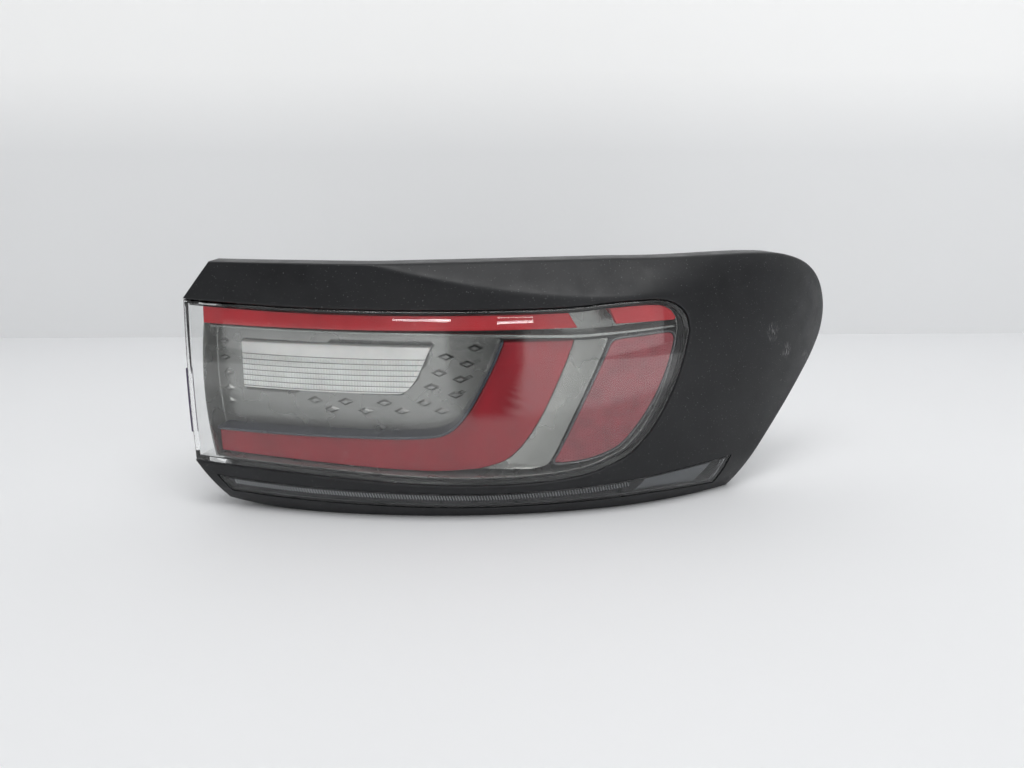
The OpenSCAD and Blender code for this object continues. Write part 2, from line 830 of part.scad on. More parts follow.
module reverse_optic() {
    color([0.93, 0.93, 0.92]) stack(optic_sides, [
        layer(0.8, optic_depth),
        layer(0, optic_depth + 0.8),
        layer(0, bezel_back + seat)
    ], 2);
}

reverse_leds_n = 6;
reverse_led_pitch = 18;
reflector_floor = 2;
module reverse_reflector() {
    color([0.8, 0.8, 0.8]) difference() {
        stack(optic_sides, [
            flat_layer(7, reverse_board_y - seat - reflector_floor),
            layer(1.2, bezel_back + 2 * seat),
            layer(-2.5, bezel_back + 2 * seat),
            layer(-2.5, bezel_back + 2 * seat + 1.8),
            layer(-0.6, bezel_back + 2 * seat + 1.8),
            flat_layer(5, reverse_board_y - seat)
        ], 2);
        for (i = [0 : reverse_leds_n - 1])
            bar([optic_spot.x + (i - (reverse_leds_n - 1) / 2) * reverse_led_pitch, optic_spot.y], 3.6,
                reverse_board_y - 5, reverse_board_y + 1);
        for (at = board_holes(reverse_board))
            bar(at, screw_r + hole_play, reverse_board_y - 5, reverse_board_y + 1);
    }
}

module reverse_led_board() {
    color([0.1, 0.4, 0.2]) board(reverse_board, reverse_board_y);
}

module reverse_leds() {
    color([0.95, 0.9, 0.5]) led_row(reverse_board, reverse_board_y, reverse_leds_n, reverse_led_pitch);
}

module tail_led_board() {
    color([0.1, 0.4, 0.2]) board(tail_board, tail_board_y);
}

module upper_led_board() {
    color([0.1, 0.4, 0.2]) board(upper_board, tail_board_y);
}

module side_led_board() {
    color([0.1, 0.4, 0.2]) board(side_board, tail_board_y);
}

module tail_leds() {
    color([0.9, 0.5, 0.4]) {
        led_row(tail_board, tail_board_y, 12, 17);
        led_row(upper_board, tail_board_y, 18, 18);
        for (row = [-1 : 1]) led_row(side_board, tail_board_y, 3, 11, row * 15);
    }
}

module strip_lens() {
    color([0.55, 0.56, 0.57, 0.6]) stack(strip_sides, [
        layer(0.8, 0.2),
        layer(0, 1),
        layer(0, strip_flange_depth),
        layer(-strip_flange_w, strip_flange_depth),
        layer(-strip_flange_w, strip_flange_depth + strip_flange_t),
        layer(strip_wall, strip_flange_depth + strip_flange_t),
        layer(strip_wall, strip_wall + 0.2)
    ], 2);
}

module strip_light_guide() {
    color([0.85, 0.85, 0.86]) stack(strip_guide_sides, [
        layer(0, strip_guide_depth),
        layer(0, strip_depth - seat)
    ], 1);
}

// Cap over the light sources at the right hand end of the strip
module strip_reflector() {
    color([0.42, 0.43, 0.44]) stack(strip_reflector_sides, [
        layer(0, strip_guide_depth + 0.5),
        layer(0, strip_depth - seat),
        layer(strip_reflector_wall, strip_depth - seat),
        layer(strip_reflector_wall, strip_guide_depth + 0.5 + strip_reflector_wall)
    ], 2);
}

module strip_carrier() {
    color([0.15, 0.15, 0.16]) stack(strip_sides, [
        layer(2, strip_depth),
        layer(0, carrier_rim),
        layer(-strip_flange_w, carrier_rim),
        layer(-strip_flange_w, carrier_rim + strip_flange_t),
        layer(-1.5, carrier_rim + strip_flange_t),
        layer(0.5, strip_depth + 2)
    ], 2);
}

module strip_led_board() {
    color([0.1, 0.4, 0.2]) stack(strip_board_sides, [
        layer(0, strip_depth - seat - board_t),
        layer(0, strip_depth - seat)
    ], 2);
}

module heat_sink() {
    low = reverse_board_y + board_t;
    back = housing_back + seat;
    color([0.75, 0.76, 0.78]) difference() {
        union() {
            box([optic_spot.x - pedestal_w / 2, low, optic_spot.y - pedestal_h / 2],
                [optic_spot.x + pedestal_w / 2, back + 1, optic_spot.y + pedestal_h / 2]);
            box([optic_spot.x - sink_w / 2, back, optic_spot.y - sink_h / 2],
                [optic_spot.x + sink_w / 2, back + sink_plate_t, optic_spot.y + sink_h / 2]);
            for (i = [0 : fins - 1]) {
                x = optic_spot.x + (i / (fins - 1) - 0.5) * (sink_w - 24);
                box([x - 0.8, back + 1, optic_spot.y - sink_h / 2 + 1],
                    [x + 0.8, back + sink_plate_t + fin_h, optic_spot.y + sink_h / 2 - 1]);
            }
        }
        for (at = sink_holes()) bar(at, screw_r + hole_play, back - 1, back + sink_plate_t + 1);
        for (at = board_holes(reverse_board)) bar(at, pilot_r, low - 1, low + pilot_l);
    }
}

module control_module() {
    back = housing_back + seat;
    half_w = module_w / 2 - 2;
    color([0.12, 0.12, 0.13]) difference() {
        union() {
            box([module_spot.x - half_w, back, module_spot.y - module_h / 2],
                [module_spot.x + half_w, back + module_t, module_spot.y + module_h / 2]);
            for (at = module_holes()) bar(at, ear_r, back, back + ear_t);
            for (i = [-3 : 3])
                box([module_spot.x + i * 10 - 1, back + module_t - 1, module_spot.y - module_h / 2 + 5],
                    [module_spot.x + i * 10 + 1, back + module_t + 2, module_spot.y + module_h / 2 - 5]);
        }
        for (at = module_holes()) bar(at, screw_r + hole_play, back - 1, back + ear_t + 1);
    }
}

socket_back = housing_back + seat;
pin_w = 0.8;
pin_pitch = 5;
contact_row = 2.6;
function contact_spots() = [
    for (i = [-2 : 2], k = [-1, 1]) socket_spot + [i * pin_pitch, k * contact_row]
];
module connector_socket() {
    color([0.1, 0.1, 0.11]) difference() {
        union() {
            box([socket_spot.x - socket_w / 2 - 2, socket_back, socket_spot.y - socket_h / 2 - 2],
                [socket_spot.x + socket_w / 2 + 2, socket_back + 2, socket_spot.y + socket_h / 2 + 2]);
            box([socket_spot.x - socket_w / 2, socket_back, socket_spot.y - socket_h / 2],
                [socket_spot.x + socket_w / 2, socket_back + socket_l, socket_spot.y + socket_h / 2]);
            box([socket_spot.x - 4, socket_back + 1, socket_spot.y + socket_h / 2 - 1],
                [socket_spot.x + 4, socket_back + socket_l - 4, socket_spot.y + socket_h / 2 + 2]);
        }
        box([socket_spot.x - socket_w / 2 + socket_wall, socket_back + 4,
                socket_spot.y - socket_h / 2 + socket_wall],
            [socket_spot.x + socket_w / 2 - socket_wall, socket_back + socket_l + 1,
                socket_spot.y + socket_h / 2 - socket_wall]);
        for (at = contact_spots())
            box([at.x - pin_w / 2 - 0.1, socket_back - 1, at.y - pin_w / 2 - 0.1],
                [at.x + pin_w / 2 + 0.1, socket_back + 5, at.y + pin_w / 2 + 0.1]);
    }
}

module connector_pins() {
    color([0.8, 0.7, 0.3]) for (at = contact_spots())
        box([at.x - pin_w / 2, socket_back - 6, at.y - pin_w / 2],
            [at.x + pin_w / 2, socket_back + 12, at.y + pin_w / 2]);
}

module vent_caps() {
    color([0.15, 0.15, 0.15]) for (at = vent_spots) difference() {
        bar(at, 6.5, housing_back + seat, housing_back + 7.5);
        bar(at, 4.3, housing_back, housing_back + 5.4);
    }
}

gasket_w = 6;
gasket_t = 6;
gasket_path = styled([[-238, 62], [-238, 150], [112, 150], [84, 62]]);
module rear_gasket() {
    inner = inset_loop(gasket_path, gasket_w);
    color([0.2, 0.2, 0.2]) translate([0, front_y + housing_back + seat + gasket_t, 0]) rotate([90, 0, 0])
        linear_extrude(gasket_t) difference() {
            polygon(gasket_path);
            polygon(inner);
        }
}

module end_seal_strip() {
    color([0.2, 0.18, 0.25]) stack(end_seal_sides, [layer(0, end_seal_from), layer(0, end_seal_to)], 6);
}

pin_boss_r = 8;
pin_boss_from = plan_y(pin_spot.x) + recess(pin_spot.x, pin_spot.y) + 10;
pin_boss_to = pin_boss_from + 15;
module nose_bracket() {
    color([0.22, 0.22, 0.23]) {
        stack(bracket_sides, [
            layer(0, cover_wall + 3 * seat, rim_depth - seat - bracket_t),
            layer(0, cover_wall + 3 * seat + bracket_t, rim_depth - seat)
        ], 6);
        bar(pin_spot - [7, 0], pin_boss_r, pin_boss_from, pin_boss_to);
    }
}

module locating_pin() {
    at = pin_spot - [7, 0];
    y = pin_boss_to + seat;
    color([0.7, 0.7, 0.72]) {
        bar(at, 7, y, y + 2);
        bar(at, pin_r, y + 1.9, y + 2 + pin_l - 1.5);
        translate([at.x, front_y + y + 2 + pin_l - 1.5, at.y]) rotate([-90, 0, 0])
            cylinder(r1 = pin_r, r2 = pin_r - 1.5, h = 1.5);
    }
}

module foot_bracket() {
    back = housing_back + seat;
    low_x = foot_spot.x - foot_w / 2;
    high_x = foot_spot.x + foot_w / 2;
    color([0.18, 0.18, 0.19]) difference() {
        union() {
            box([low_x, back, 0], [high_x, back + foot_t, foot_spot.y + 8]);
            box([low_x, back, 0], [high_x, back + foot_reach, foot_t]);
            for (x = [low_x, foot_spot.x - foot_t / 2, high_x - foot_t])
                translate([x, front_y + back + foot_t - 0.1, foot_t - 0.1]) rotate([90, 0, 90])
                    linear_extrude(foot_t) polygon([[0, 0], [foot_reach - foot_t - 2, 0], [0, 26]]);
        }
        for (at = foot_holes()) bar(at, screw_r + hole_play, back - 1, back + foot_t + 1);
    }
}

module fixing_stud(at) {
    seat_y = housing_back + boss_h + seat;
    bar(at, 7, seat_y, seat_y + 2);
    bar(at, stud_r, housing_back + 1, seat_y + 2 + stud_l);
}

module fixing_stud_inner() {
    color([0.75, 0.75, 0.77]) fixing_stud(stud_inner_spot);
}

module fixing_stud_outer() {
    color([0.75, 0.75, 0.77]) fixing_stud(stud_outer_spot);
}

module cover_screws() {
    color([0.5, 0.5, 0.5]) for (at = tower_spots)
        back_screw(at, lug_y(at) + 2 * seat + lug_t, 9, cover_screw_r, cover_head_r);
}

module board_screws() {
    color([0.6, 0.6, 0.6]) {
        for (b = tail_boards, at = board_holes(b)) front_screw(at, tail_board_y, 7);
        for (at = board_holes(reverse_board))
            front_screw(at, reverse_board_y - seat - reflector_floor, 8);
    }
}

module module_screws() {
    color([0.6, 0.6, 0.6]) for (at = module_holes())
        back_screw(at, housing_back + seat + ear_t, 9, screw_r, head_r);
}

module sink_screws() {
    color([0.6, 0.6, 0.6]) for (at = sink_holes())
        back_screw(at, housing_back + seat + sink_plate_t, 9, screw_r, head_r);
}

module foot_screws() {
    color([0.6, 0.6, 0.6]) for (at = foot_holes())
        back_screw(at, housing_back + seat + foot_t, 9, screw_r, head_r);
}

cover_panel();
outer_lens();
lens_seal();
housing();
inner_bezel();
upper_light_guide();
hook_light_guide();
end_light_guide();
hook_trim();
divider_trim();
side_bezel();
reflex_reflector();
reflex_frame();
reverse_optic();
reverse_reflector();
reverse_led_board();
reverse_leds();
tail_led_board();
upper_led_board();
side_led_board();
tail_leds();
strip_lens();
strip_light_guide();
strip_reflector();
strip_carrier();
strip_led_board();
heat_sink();
control_module();
connector_socket();
connector_pins();
vent_caps();
rear_gasket();
end_seal_strip();
nose_bracket();
locating_pin();
foot_bracket();
fixing_stud_inner();
fixing_stud_outer();
cover_screws();
board_screws();
module_screws();
sink_screws();
foot_screws();
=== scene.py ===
import math

import bmesh
import bpy
import numpy as np
from bpy.props import FloatProperty, FloatVectorProperty, IntProperty, PointerProperty
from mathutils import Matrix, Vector


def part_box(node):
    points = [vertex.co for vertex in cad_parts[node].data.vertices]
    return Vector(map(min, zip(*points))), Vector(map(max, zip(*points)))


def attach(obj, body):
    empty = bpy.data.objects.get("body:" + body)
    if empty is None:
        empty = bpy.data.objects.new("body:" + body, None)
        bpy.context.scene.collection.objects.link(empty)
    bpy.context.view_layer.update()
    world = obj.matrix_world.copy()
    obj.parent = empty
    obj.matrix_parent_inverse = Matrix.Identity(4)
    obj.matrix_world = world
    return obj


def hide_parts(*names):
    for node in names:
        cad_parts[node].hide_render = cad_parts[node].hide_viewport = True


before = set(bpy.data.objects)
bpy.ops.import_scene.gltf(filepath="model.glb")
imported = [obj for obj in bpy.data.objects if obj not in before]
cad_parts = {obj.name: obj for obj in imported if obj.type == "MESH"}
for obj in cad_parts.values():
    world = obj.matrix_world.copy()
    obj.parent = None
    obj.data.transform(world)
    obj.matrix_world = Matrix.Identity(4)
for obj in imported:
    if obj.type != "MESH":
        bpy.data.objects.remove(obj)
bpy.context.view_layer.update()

bl_info = {
    "name": "Tail light cluster",
    "version": (1, 0, 0),
    "blender": (4, 5, 0),
    "location": "View3D > Sidebar > Tail light",
    "description": "Builds the visible pieces of a wrap-round tail light cluster round its packed model",
    "category": "Object",
}

MM = 0.001
BODY = "root"

# The styled face, in millimetres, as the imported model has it
CREST_X, KNEE_X = -67.0, 48.0
FRONT_R, SIDE_R = 600.0, 350.0
UNDERCUT, TOP_LEAN, HAUNCH_LEAN = 13.0, 10.0, 0.9
BELT_LOW, BELT_HIGH, BELT_REACH = 34.0, 60.0, 100.0
CREASE_X, CREASE_Z, CREASE_RUN, CREASE_RISE, CREASE_BEND = 67.0, 170.0, 180.0, 26.0, 1.6
CREASE_SOFT = 1.6
HAUNCH_RUN, HAUNCH_SOFT, HAUNCH_LOSS = 120.0, 30.0, 0.55
KNEE_S = (KNEE_X - CREST_X) / FRONT_R
KNEE_C = math.sqrt(1 - KNEE_S ** 2)
DEEP_FROM, DEEP_RUN = -215.0, 45.0
BOW_FADE, LENS_BOW, REFLEX_BOW = 5, 5.0, 5.5

COVER_WALL, COVER_RETURN, COVER_LIP, COVER_EDGE = 3.0, 14.0, 8.0, 1.2
LENS_WALL, LENS_DEPTH, END_DEPTH, LENS_GAP = 3.0, 16.0, 14.0, 0.7
FIELD, BEZEL_BACK, GUIDE_BACK = 25.0, 27.0, 24.7
LIP_DEPTH, LIP_T, LIP_W, HOOK_DEPTH, REFLEX_DEPTH, OPTIC_DEPTH = 5.0, 5.0, 2.8, 12.0, 7.0, 21.0
RIM_HIGH, RIM_LOW, RIM_W, DIVIDER_DEPTH, SIDE_DEPTH, SIDE_FALL = 11.0, 6.0, 1.2, 9.0, 8.5, 5.5
STRIP_GUIDE_DEPTH = 4.5
STRIP_DEPTH, STRIP_FLANGE, CARRIER_RIM = 18.0, 3.8, 6.1
HOUSING_BACK, SEAT = 87.0, 0.3
FINE = 4


def slope(x):
    """Sine of the plan angle of the face at x."""
    return np.where(x <= KNEE_X, (x - CREST_X) / FRONT_R, KNEE_S + (x - KNEE_X) / SIDE_R)


def plan_y(x):
    """How far the plan curve has swept back at x."""
    cosine = np.sqrt(1 - slope(x) ** 2)
    knee_y = FRONT_R * (1 - KNEE_C)
    return np.where(x <= KNEE_X, FRONT_R * (1 - cosine), knee_y + SIDE_R * (KNEE_C - cosine))


def recess(x, z):
    """How far undercut, crease and haunch set the face back at a point."""
    run = np.maximum(CREASE_X - x, 0) / CREASE_RUN
    over = z - CREASE_Z - CREASE_RISE * run ** CREASE_BEND
    over = (over + np.sqrt(over ** 2 + CREASE_SOFT ** 2)) / 2
    fade = np.clip((x - CREASE_X) / HAUNCH_RUN, 0, 1)
    haunch = HAUNCH_LEAN * (1 - HAUNCH_LOSS * fade) * (over + (over ** 2 / HAUNCH_SOFT - over) * fade)
    return (UNDERCUT * (np.maximum(BELT_LOW - z, 0) / BELT_LOW) ** 2
            + TOP_LEAN * (np.maximum(z - BELT_HIGH, 0) / BELT_REACH) ** 2 + haunch)


def skin(points, depth):
    """Places [x, z] points at a depth behind the styled face."""
    points = np.asarray(points, float).reshape(-1, 2)
    x, z = points[:, 0], points[:, 1]
    s = slope(x)
    return np.stack([x - s * depth, FRONT_Y + plan_y(x) + recess(x, z) + np.sqrt(1 - s * s) * depth, z], 1)


def skin_turn(points, roll=0.0):
    """Euler turns that stand a part on the face, its own -Y pointing out."""
    x, z = np.asarray(points, float).reshape(-1, 2).T
    step = 0.5
    rise = (recess(x, z + step) - recess(x, z - step)) / (2 * step)
    return np.stack([-np.arctan(rise), np.full(len(x), roll), np.arcsin(slope(x))], 1)


def curve(points, steps=24):
    """Smooth curve through given points."""
    p = np.array(points, float)
    last = len(p) - 1
    out = []
    for i in range(last):
        a, b, c, d = p[max(i - 1, 0)], p[i], p[i + 1], p[min(i + 2, last)]
        for t in np.arange(steps) / steps:
            out.append((2 * b + (c - a) * t + (2 * a - 5 * b + 4 * c - d) * t ** 2
                        + (3 * b - a - 3 * c + d) * t ** 3) / 2)
    return np.array(out + [p[last]])


def points_at(path, shares):
    """Points of a path at shares of its length."""
    path = np.asarray(path, float)
    runs = np.concatenate([[0], np.cumsum(np.linalg.norm(np.diff(path, axis=0), axis=1))])
    at = np.asarray(shares, float) * runs[-1]
    return np.stack([np.interp(at, runs, path[:, 0]), np.interp(at, runs, path[:, 1])], 1)


def stretch(path, low, high, steps):
    """Evenly spaced points of a path between two shares of its length."""
    return points_at(path, np.linspace(low, high, steps + 1))


def spread(path, knots, fine):
    """Points of a path, evenly spaced between knots of [share, steps]."""
    shares, start = [], 0.0
    for share, steps in knots:
        shares += [start + (share - start) * i / (steps * fine) for i in range(steps * fine)]
        start = share
    return points_at(path, shares + [1.0])


def inward(edge):
    """Unit normals of edges, towards their right hand side."""
    edge = np.asarray(edge, float)
    return np.stack([edge[:, 1], -edge[:, 0]], 1) / np.linalg.norm(edge, axis=1)[:, None]


def inset_loop(loop, a):
    """A closed loop moved inwards by a."""
    before = inward(loop - np.roll(loop, 1, axis=0))
    after = inward(np.roll(loop, -1, axis=0) - loop)
    return loop + a * (before + after) / (1 + (before * after).sum(1))[:, None]


def shifted(path, a):
    """A path moved to its right hand side, as seen along it."""
    path = np.asarray(path, float)
    steps = inward(np.diff(path, axis=0))
    before = np.concatenate([steps[:1], steps])
    after = np.concatenate([steps, steps[-1:]])
    return path + a * (before + after) / (1 + (before * after).sum(1))[:, None]


def trimmed(path, cut):
    """A path whose start is moved on by cut."""
    runs = np.concatenate([[0], np.cumsum(np.linalg.norm(np.diff(path, axis=0), axis=1))])
    share = cut / runs[-1]
    return points_at(path, share + (1 - share) * runs / runs[-1])


def inset(sides, a):
    """An outline moved inwards by a."""
    n = len(sides[0])
    loop = inset_loop(np.concatenate([sides[0], sides[1][::-1]]), a)
    return loop[:n], loop[n:][::-1], *sides[2:]


def across(sides, i, t):
    """Points between the two sides of an outline, at stations i and shares t."""
    n = len(sides[0]) - 1
    a, b = sides[0][i], sides[1][i]
    t = np.asarray(t, float)[:, None]
    share = np.asarray(i)[:, None] / n
    bow = sides[2] * share ** BOW_FADE
    if len(sides) > 3:
        bow = bow - sides[3] * (1 - share) ** BOW_FADE
    return a + (b - a) * t - inward(b - a) * 4 * t * (1 - t) * bow


def wrap(sides, steps):
    """The rim of an outline, without its first end."""
    last = len(sides[0]) - 1
    edge = across(sides, np.full(steps - 1, last), np.arange(1, steps) / steps)
    return np.concatenate([sides[0], edge, sides[1][::-1]])


def lens_outline(fine):
    """Upper side, lower side and bow of the lens."""
    knots = [(0.86, 17), (1, 9)]
    return spread(LENS_UPPER, knots, fine), spread(LENS_LOWER, knots, fine), LENS_BOW


def cover_outline(fine):
    """Outer rim and lens opening of the cover panel."""
    foot = 18 * fine
    rim = wrap(inset(lens_outline(fine), -LENS_GAP), 8 * fine)
    outer = np.concatenate([
        spread(COVER_TOP, [(0.47, 13), (1, 22)], fine), stretch(COVER_FOOT, 1 / foot, 1, foot - 1)])
    return outer, spread(rim, [(0.415, 13), (0.62, 22), (0.68, 5), (1, 13)], fine), 0.0


LENS_UPPER = curve([
    (-260, 165), (-150, 163.5), (-40, 163.5), (29, 164), (59, 166), (88, 166.5), (103, 165), (114, 160),
    (120.5, 152), (123, 142)])
LENS_LOWER = curve([
    (-260, 40), (-173, 37.5), (-96, 33), (-44, 31), (8, 32), (43, 36), (62, 42), (79, 50.5), (93, 65)])
COVER_TOP = curve([
    (-238, 194), (-170, 195.5), (-95, 196), (0, 195.3), (90, 194), (150, 193.6), (185, 192), (212, 187.5),
    (236, 177), (252.8, 160), (260.9, 138), (258.9, 118), (248.5, 100), (231, 79), (207, 50), (186, 24),
    (168, 0)])
COVER_FOOT = np.concatenate([[(168, 0), (-170, 0)], curve([(-171, 0.1), (-205, 2), (-236, 7)])])
COVER_STATIONS = cover_outline(1)[0]
REAR_REACH = np.max(plan_y(COVER_STATIONS[:, 0]) + recess(COVER_STATIONS[:, 0], COVER_STATIONS[:, 1])
                    + np.sqrt(1 - slope(COVER_STATIONS[:, 0]) ** 2) * COVER_RETURN)
FRONT_Y = -REAR_REACH / 2

HOOK_BEND = curve([
    (36, 138), (33.4, 130), (29.2, 119.5), (20.8, 100), (12, 81.7), (0.6, 63.2), (-8.7, 52.3), (-19, 45.4),
    (-36, 40.5)])
HOOK_ARM = curve([
    (-36, 40.5), (-67, 38.6), (-98, 39.6), (-138, 41.8), (-178, 44), (-220, 45.4), (-243, 46)])
HOOK_INNER = curve([
    (-17, 138), (-20.5, 129), (-26.5, 116), (-34.5, 100.6), (-42.5, 87), (-51.5, 75.6), (-61, 68.6),
    (-75, 65.4), (-105, 64.4), (-152, 64.4), (-200, 64), (-243, 63.6)])
HOOK = (np.concatenate([spread(HOOK_BEND, [(1, 14)], FINE), stretch(HOOK_ARM, 0.1 / FINE, 1, 10 * FINE - 1)]),
        spread(HOOK_INNER, [(0.5, 15), (1, 9)], FINE), 0.0)
UPPER_GUIDE = (spread(curve([(-246, 161.2), (-150, 160.1), (-40, 160.1), (29.5, 160.5)]), [(1, 14)], FINE),
               spread([(-246, 148), (37, 148.6)], [(1, 14)], FINE), 0.0)
END_GUIDE = (
    spread(curve([(61, 161.4), (84, 162.6), (99, 161.6), (108.6, 157.6), (113.6, 151.6)]), [(1, 9)], FINE),
    spread([(66.5, 150), (112.6, 149.6)], [(1, 9)], FINE), 0.0)
DIVIDER = (
    spread(curve([(-243, 146.6), (-100, 146.4), (-37, 145.2), (24, 143.2), (49, 142.8), (115, 145)]),
           [(1, 20)], FINE),
    spread(curve([(-243, 144.4), (-100, 144.2), (-37, 142.9), (24, 140.6), (49, 140.5), (115.6, 142.9)]),
           [(1, 20)], FINE), 0.0)
REFLEX = (
    spread(curve([(61.8, 131), (64.6, 136.2), (70, 138), (86, 139), (106, 140), (112, 138.8),
                  (113.6, 134.4)]), [(1, 12)], FINE),
    spread(curve([(25.5, 53.5), (21.8, 46.6), (26, 45), (46, 46.6), (62, 51.2), (72, 56.2), (79, 62.8)]),
           [(1, 12)], FINE), REFLEX_BOW)
SIDE_BEZEL = (
    spread(curve([(61.4, 139), (59.4, 132.6), (51.5, 115), (43, 97), (32.7, 75), (23.2, 54.6), (18.8, 46.4),
                  (14.4, 42.4), (2, 40)]), [(1, 12)], FINE),
    shifted(spread(HOOK_BEND, [(1, 12)], FINE), -0.8), 0.0)
OPTIC = (
    spread([(-225, 132), (-150, 133), (-73, 132.4)], [(1, 14)], FINE),
    spread(curve([(-225, 96.5), (-150, 96.5), (-104, 96.5), (-94, 98), (-88, 103.5), (-84, 110)]),
           [(1, 14)], FINE), 0.0)
STRIP_UPPER = curve([
    (-242, 29.4), (-174, 26.8), (-97, 25), (-45, 23.6), (8, 24.2), (61, 26.4), (129, 31.4), (166, 32.7)])
STRIP_LOWER = curve([
    (-232, 15.8), (-177, 13.6), (-98, 11), (-45, 9.9), (26, 10.8), (88, 12), (125, 11), (153, 9)])
STRIP = (spread(STRIP_UPPER, [(1, 22)], FINE), spread(STRIP_LOWER, [(1, 22)], FINE), 0.0)
GUIDE_RUN = (0.03, 0.79)
STRIP_END = (shifted(stretch(STRIP_UPPER, 0.825, 0.965, 24), 3.2),
             shifted(stretch(STRIP_LOWER, 0.825, 0.955, 24), -3.2), 0.0)


# Shells between outlines

def layer(a, upper, lower=None, left=0.0):
    """Inset and depths of a shell at its upper side, lower side and left end."""
    return a, upper, upper if lower is None else lower, left


def rounded(r, depth=0.0, fall=0.0, steps=4):
    """Layers that round a front edge, whose lower side may lie deeper."""
    turns = np.linspace(0, math.pi / 2, steps + 1)
    depths = [(r * (1 - math.sin(a)), depth + r * (1 - math.cos(a))) for a in turns]
    return [layer(a, d, d + fall) for a, d in depths]


def placed(points, e, t):
    """Points of a layer, between its depths on the two sides."""
    deep = np.clip((DEEP_FROM - points[:, 0]) / DEEP_RUN, 0, 1) ** 2
    return skin(points, e[1] + (e[2] - e[1]) * np.asarray(t, float) + e[3] * deep)


def shell_mesh(sides, layers, rows, ring=False):
    """Points and faces of a closed solid over a stack of layers, first layer in front."""
    n, m = len(sides[0]) - 1, rows
    edge = 2 * (n + m)
    count = len(layers)
    up, down = np.arange(n + 1), np.arange(n, -1, -1)
    right, left = np.arange(1, m) / m, np.arange(m - 1, 0, -1) / m
    stations = np.concatenate([up, np.full(m - 1, n), down, np.zeros(m - 1, int)])
    shares = np.concatenate([np.zeros(n + 1), right, np.ones(n + 1), left])
    points = [placed(across(inset(sides, e[0]), stations, shares), e, shares) for e in layers]
    faces = []
    for k in range(count if ring else count - 1):
        a, b = k * edge, ((k + 1) % count) * edge
        faces += [(a + l, a + (l + 1) % edge, b + (l + 1) % edge, b + l) for l in range(edge)]
    if ring:
        return np.concatenate(points), faces
    grid_i = np.repeat(np.arange(1, n), m - 1)
    grid_t = np.tile(np.arange(1, m) / m, n - 1)
    inner = (n - 1) * (m - 1)
    for e in (layers[0], layers[-1]):
        points.append(placed(across(inset(sides, e[0]), grid_i, grid_t), e, grid_t))

    def at(k, i, j):
        if 0 < i < n and 0 < j < m:
            return count * edge + (0 if k == 0 else inner) + (i - 1) * (m - 1) + j - 1
        if j == 0:
            return k * edge + i
        if i == n:
            return k * edge + n + j
        return k * edge + (2 * n + m - i if j == m else 2 * n + 2 * m - j)

    for i in range(n):
        for j in range(m):
            faces.append((at(0, i, j), at(0, i, j + 1), at(0, i + 1, j + 1), at(0, i + 1, j)))
            k = count - 1
            faces.append((at(k, i, j), at(k, i + 1, j), at(k, i + 1, j + 1), at(k, i, j + 1)))
    return np.concatenate(points), faces


def linked(name, mesh, sharp=30.0):
    """Puts a mesh in the scene, smooth but for its sharp edges."""
    mesh.polygons.foreach_set("use_smooth", [True] * len(mesh.polygons))
    mesh.set_sharp_from_angle(angle=math.radians(sharp))
    obj = bpy.data.objects.new(name, mesh)
    bpy.context.scene.collection.objects.link(obj)
    return obj


def new_object(name, points, faces, sharp=30.0):
    """An object from points in millimetres."""
    mesh = bpy.data.meshes.new(name)
    mesh.from_pydata((np.asarray(points) * MM).tolist(), [], [tuple(int(v) for v in f) for f in faces])
    mesh.validate()
    return linked(name, mesh, sharp)


def from_graph(name, graph):
    """An object from a mesh graph, which it uses up."""
    mesh = bpy.data.meshes.new(name)
    graph.to_mesh(mesh)
    graph.free()
    return linked(name, mesh)


def shell(name, sides, layers, rows, ring=False):
    """A closed shell over a stack of layers, or a ring of them."""
    return new_object(name, *shell_mesh(sides, layers, rows, ring))


def applied(obj):
    """Turns what the modifiers make into the object's plain mesh."""
    graph = bpy.context.evaluated_depsgraph_get()
    mesh = bpy.data.meshes.new_from_object(obj.evaluated_get(graph))
    obj.modifiers.clear()
    obj.data = mesh
    return obj


def cut(obj, cutters):
    """Takes cutters out of an object and removes them."""
    for cutter in cutters:
        hole = obj.modifiers.new("cut", "BOOLEAN")
        hole.operation, hole.solver, hole.object = "DIFFERENCE", "EXACT", cutter
    applied(obj)
    for cutter in cutters:
        bpy.data.objects.remove(cutter)
    return obj


def joined(name, objects):
    """One mesh of several separate solids."""
    graph = bmesh.new()
    for o in objects:
        graph.from_mesh(o.data)
        bpy.data.objects.remove(o)
    return from_graph(name, graph)


def turned(profile, at=(0.0, 0.0), front=0.0, segments=32):
    """Points and faces of a solid turned round Y at [x, z]: profile rows are [radius, y]."""
    turns = np.linspace(0, 2 * math.pi, segments, endpoint=False)
    rows = [np.stack([at[0] + r * np.cos(turns), np.full(segments, front + y), at[1] + r * np.sin(turns)], 1)
            for r, y in profile]
    last = (len(rows) - 1) * segments
    faces = [(a + i, a + segments + i, a + segments + (i + 1) % segments, a + (i + 1) % segments)
             for a in range(0, last, segments) for i in range(segments)]
    faces += [tuple(range(segments)), tuple(range(last + segments - 1, last - 1, -1))]
    return np.concatenate(rows), faces


def merged(node):
    """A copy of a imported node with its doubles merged."""
    graph = bmesh.new()
    graph.from_mesh(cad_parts[node].data)
    bmesh.ops.remove_doubles(graph, verts=graph.verts, dist=1e-6)
    return graph


def refined(name, node, width):
    """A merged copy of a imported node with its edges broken."""
    graph = merged(node)
    bmesh.ops.dissolve_limit(graph, angle_limit=math.radians(0.3), verts=graph.verts, edges=graph.edges)
    obj = from_graph(name, graph)
    edge = obj.modifiers.new("edge", "BEVEL")
    edge.width, edge.segments = width * MM, 2
    edge.limit_method, edge.angle_limit = "ANGLE", math.radians(40)
    edge.use_clamp_overlap = True
    applied(obj)
    obj.data.set_sharp_from_angle(angle=math.radians(30))
    return obj


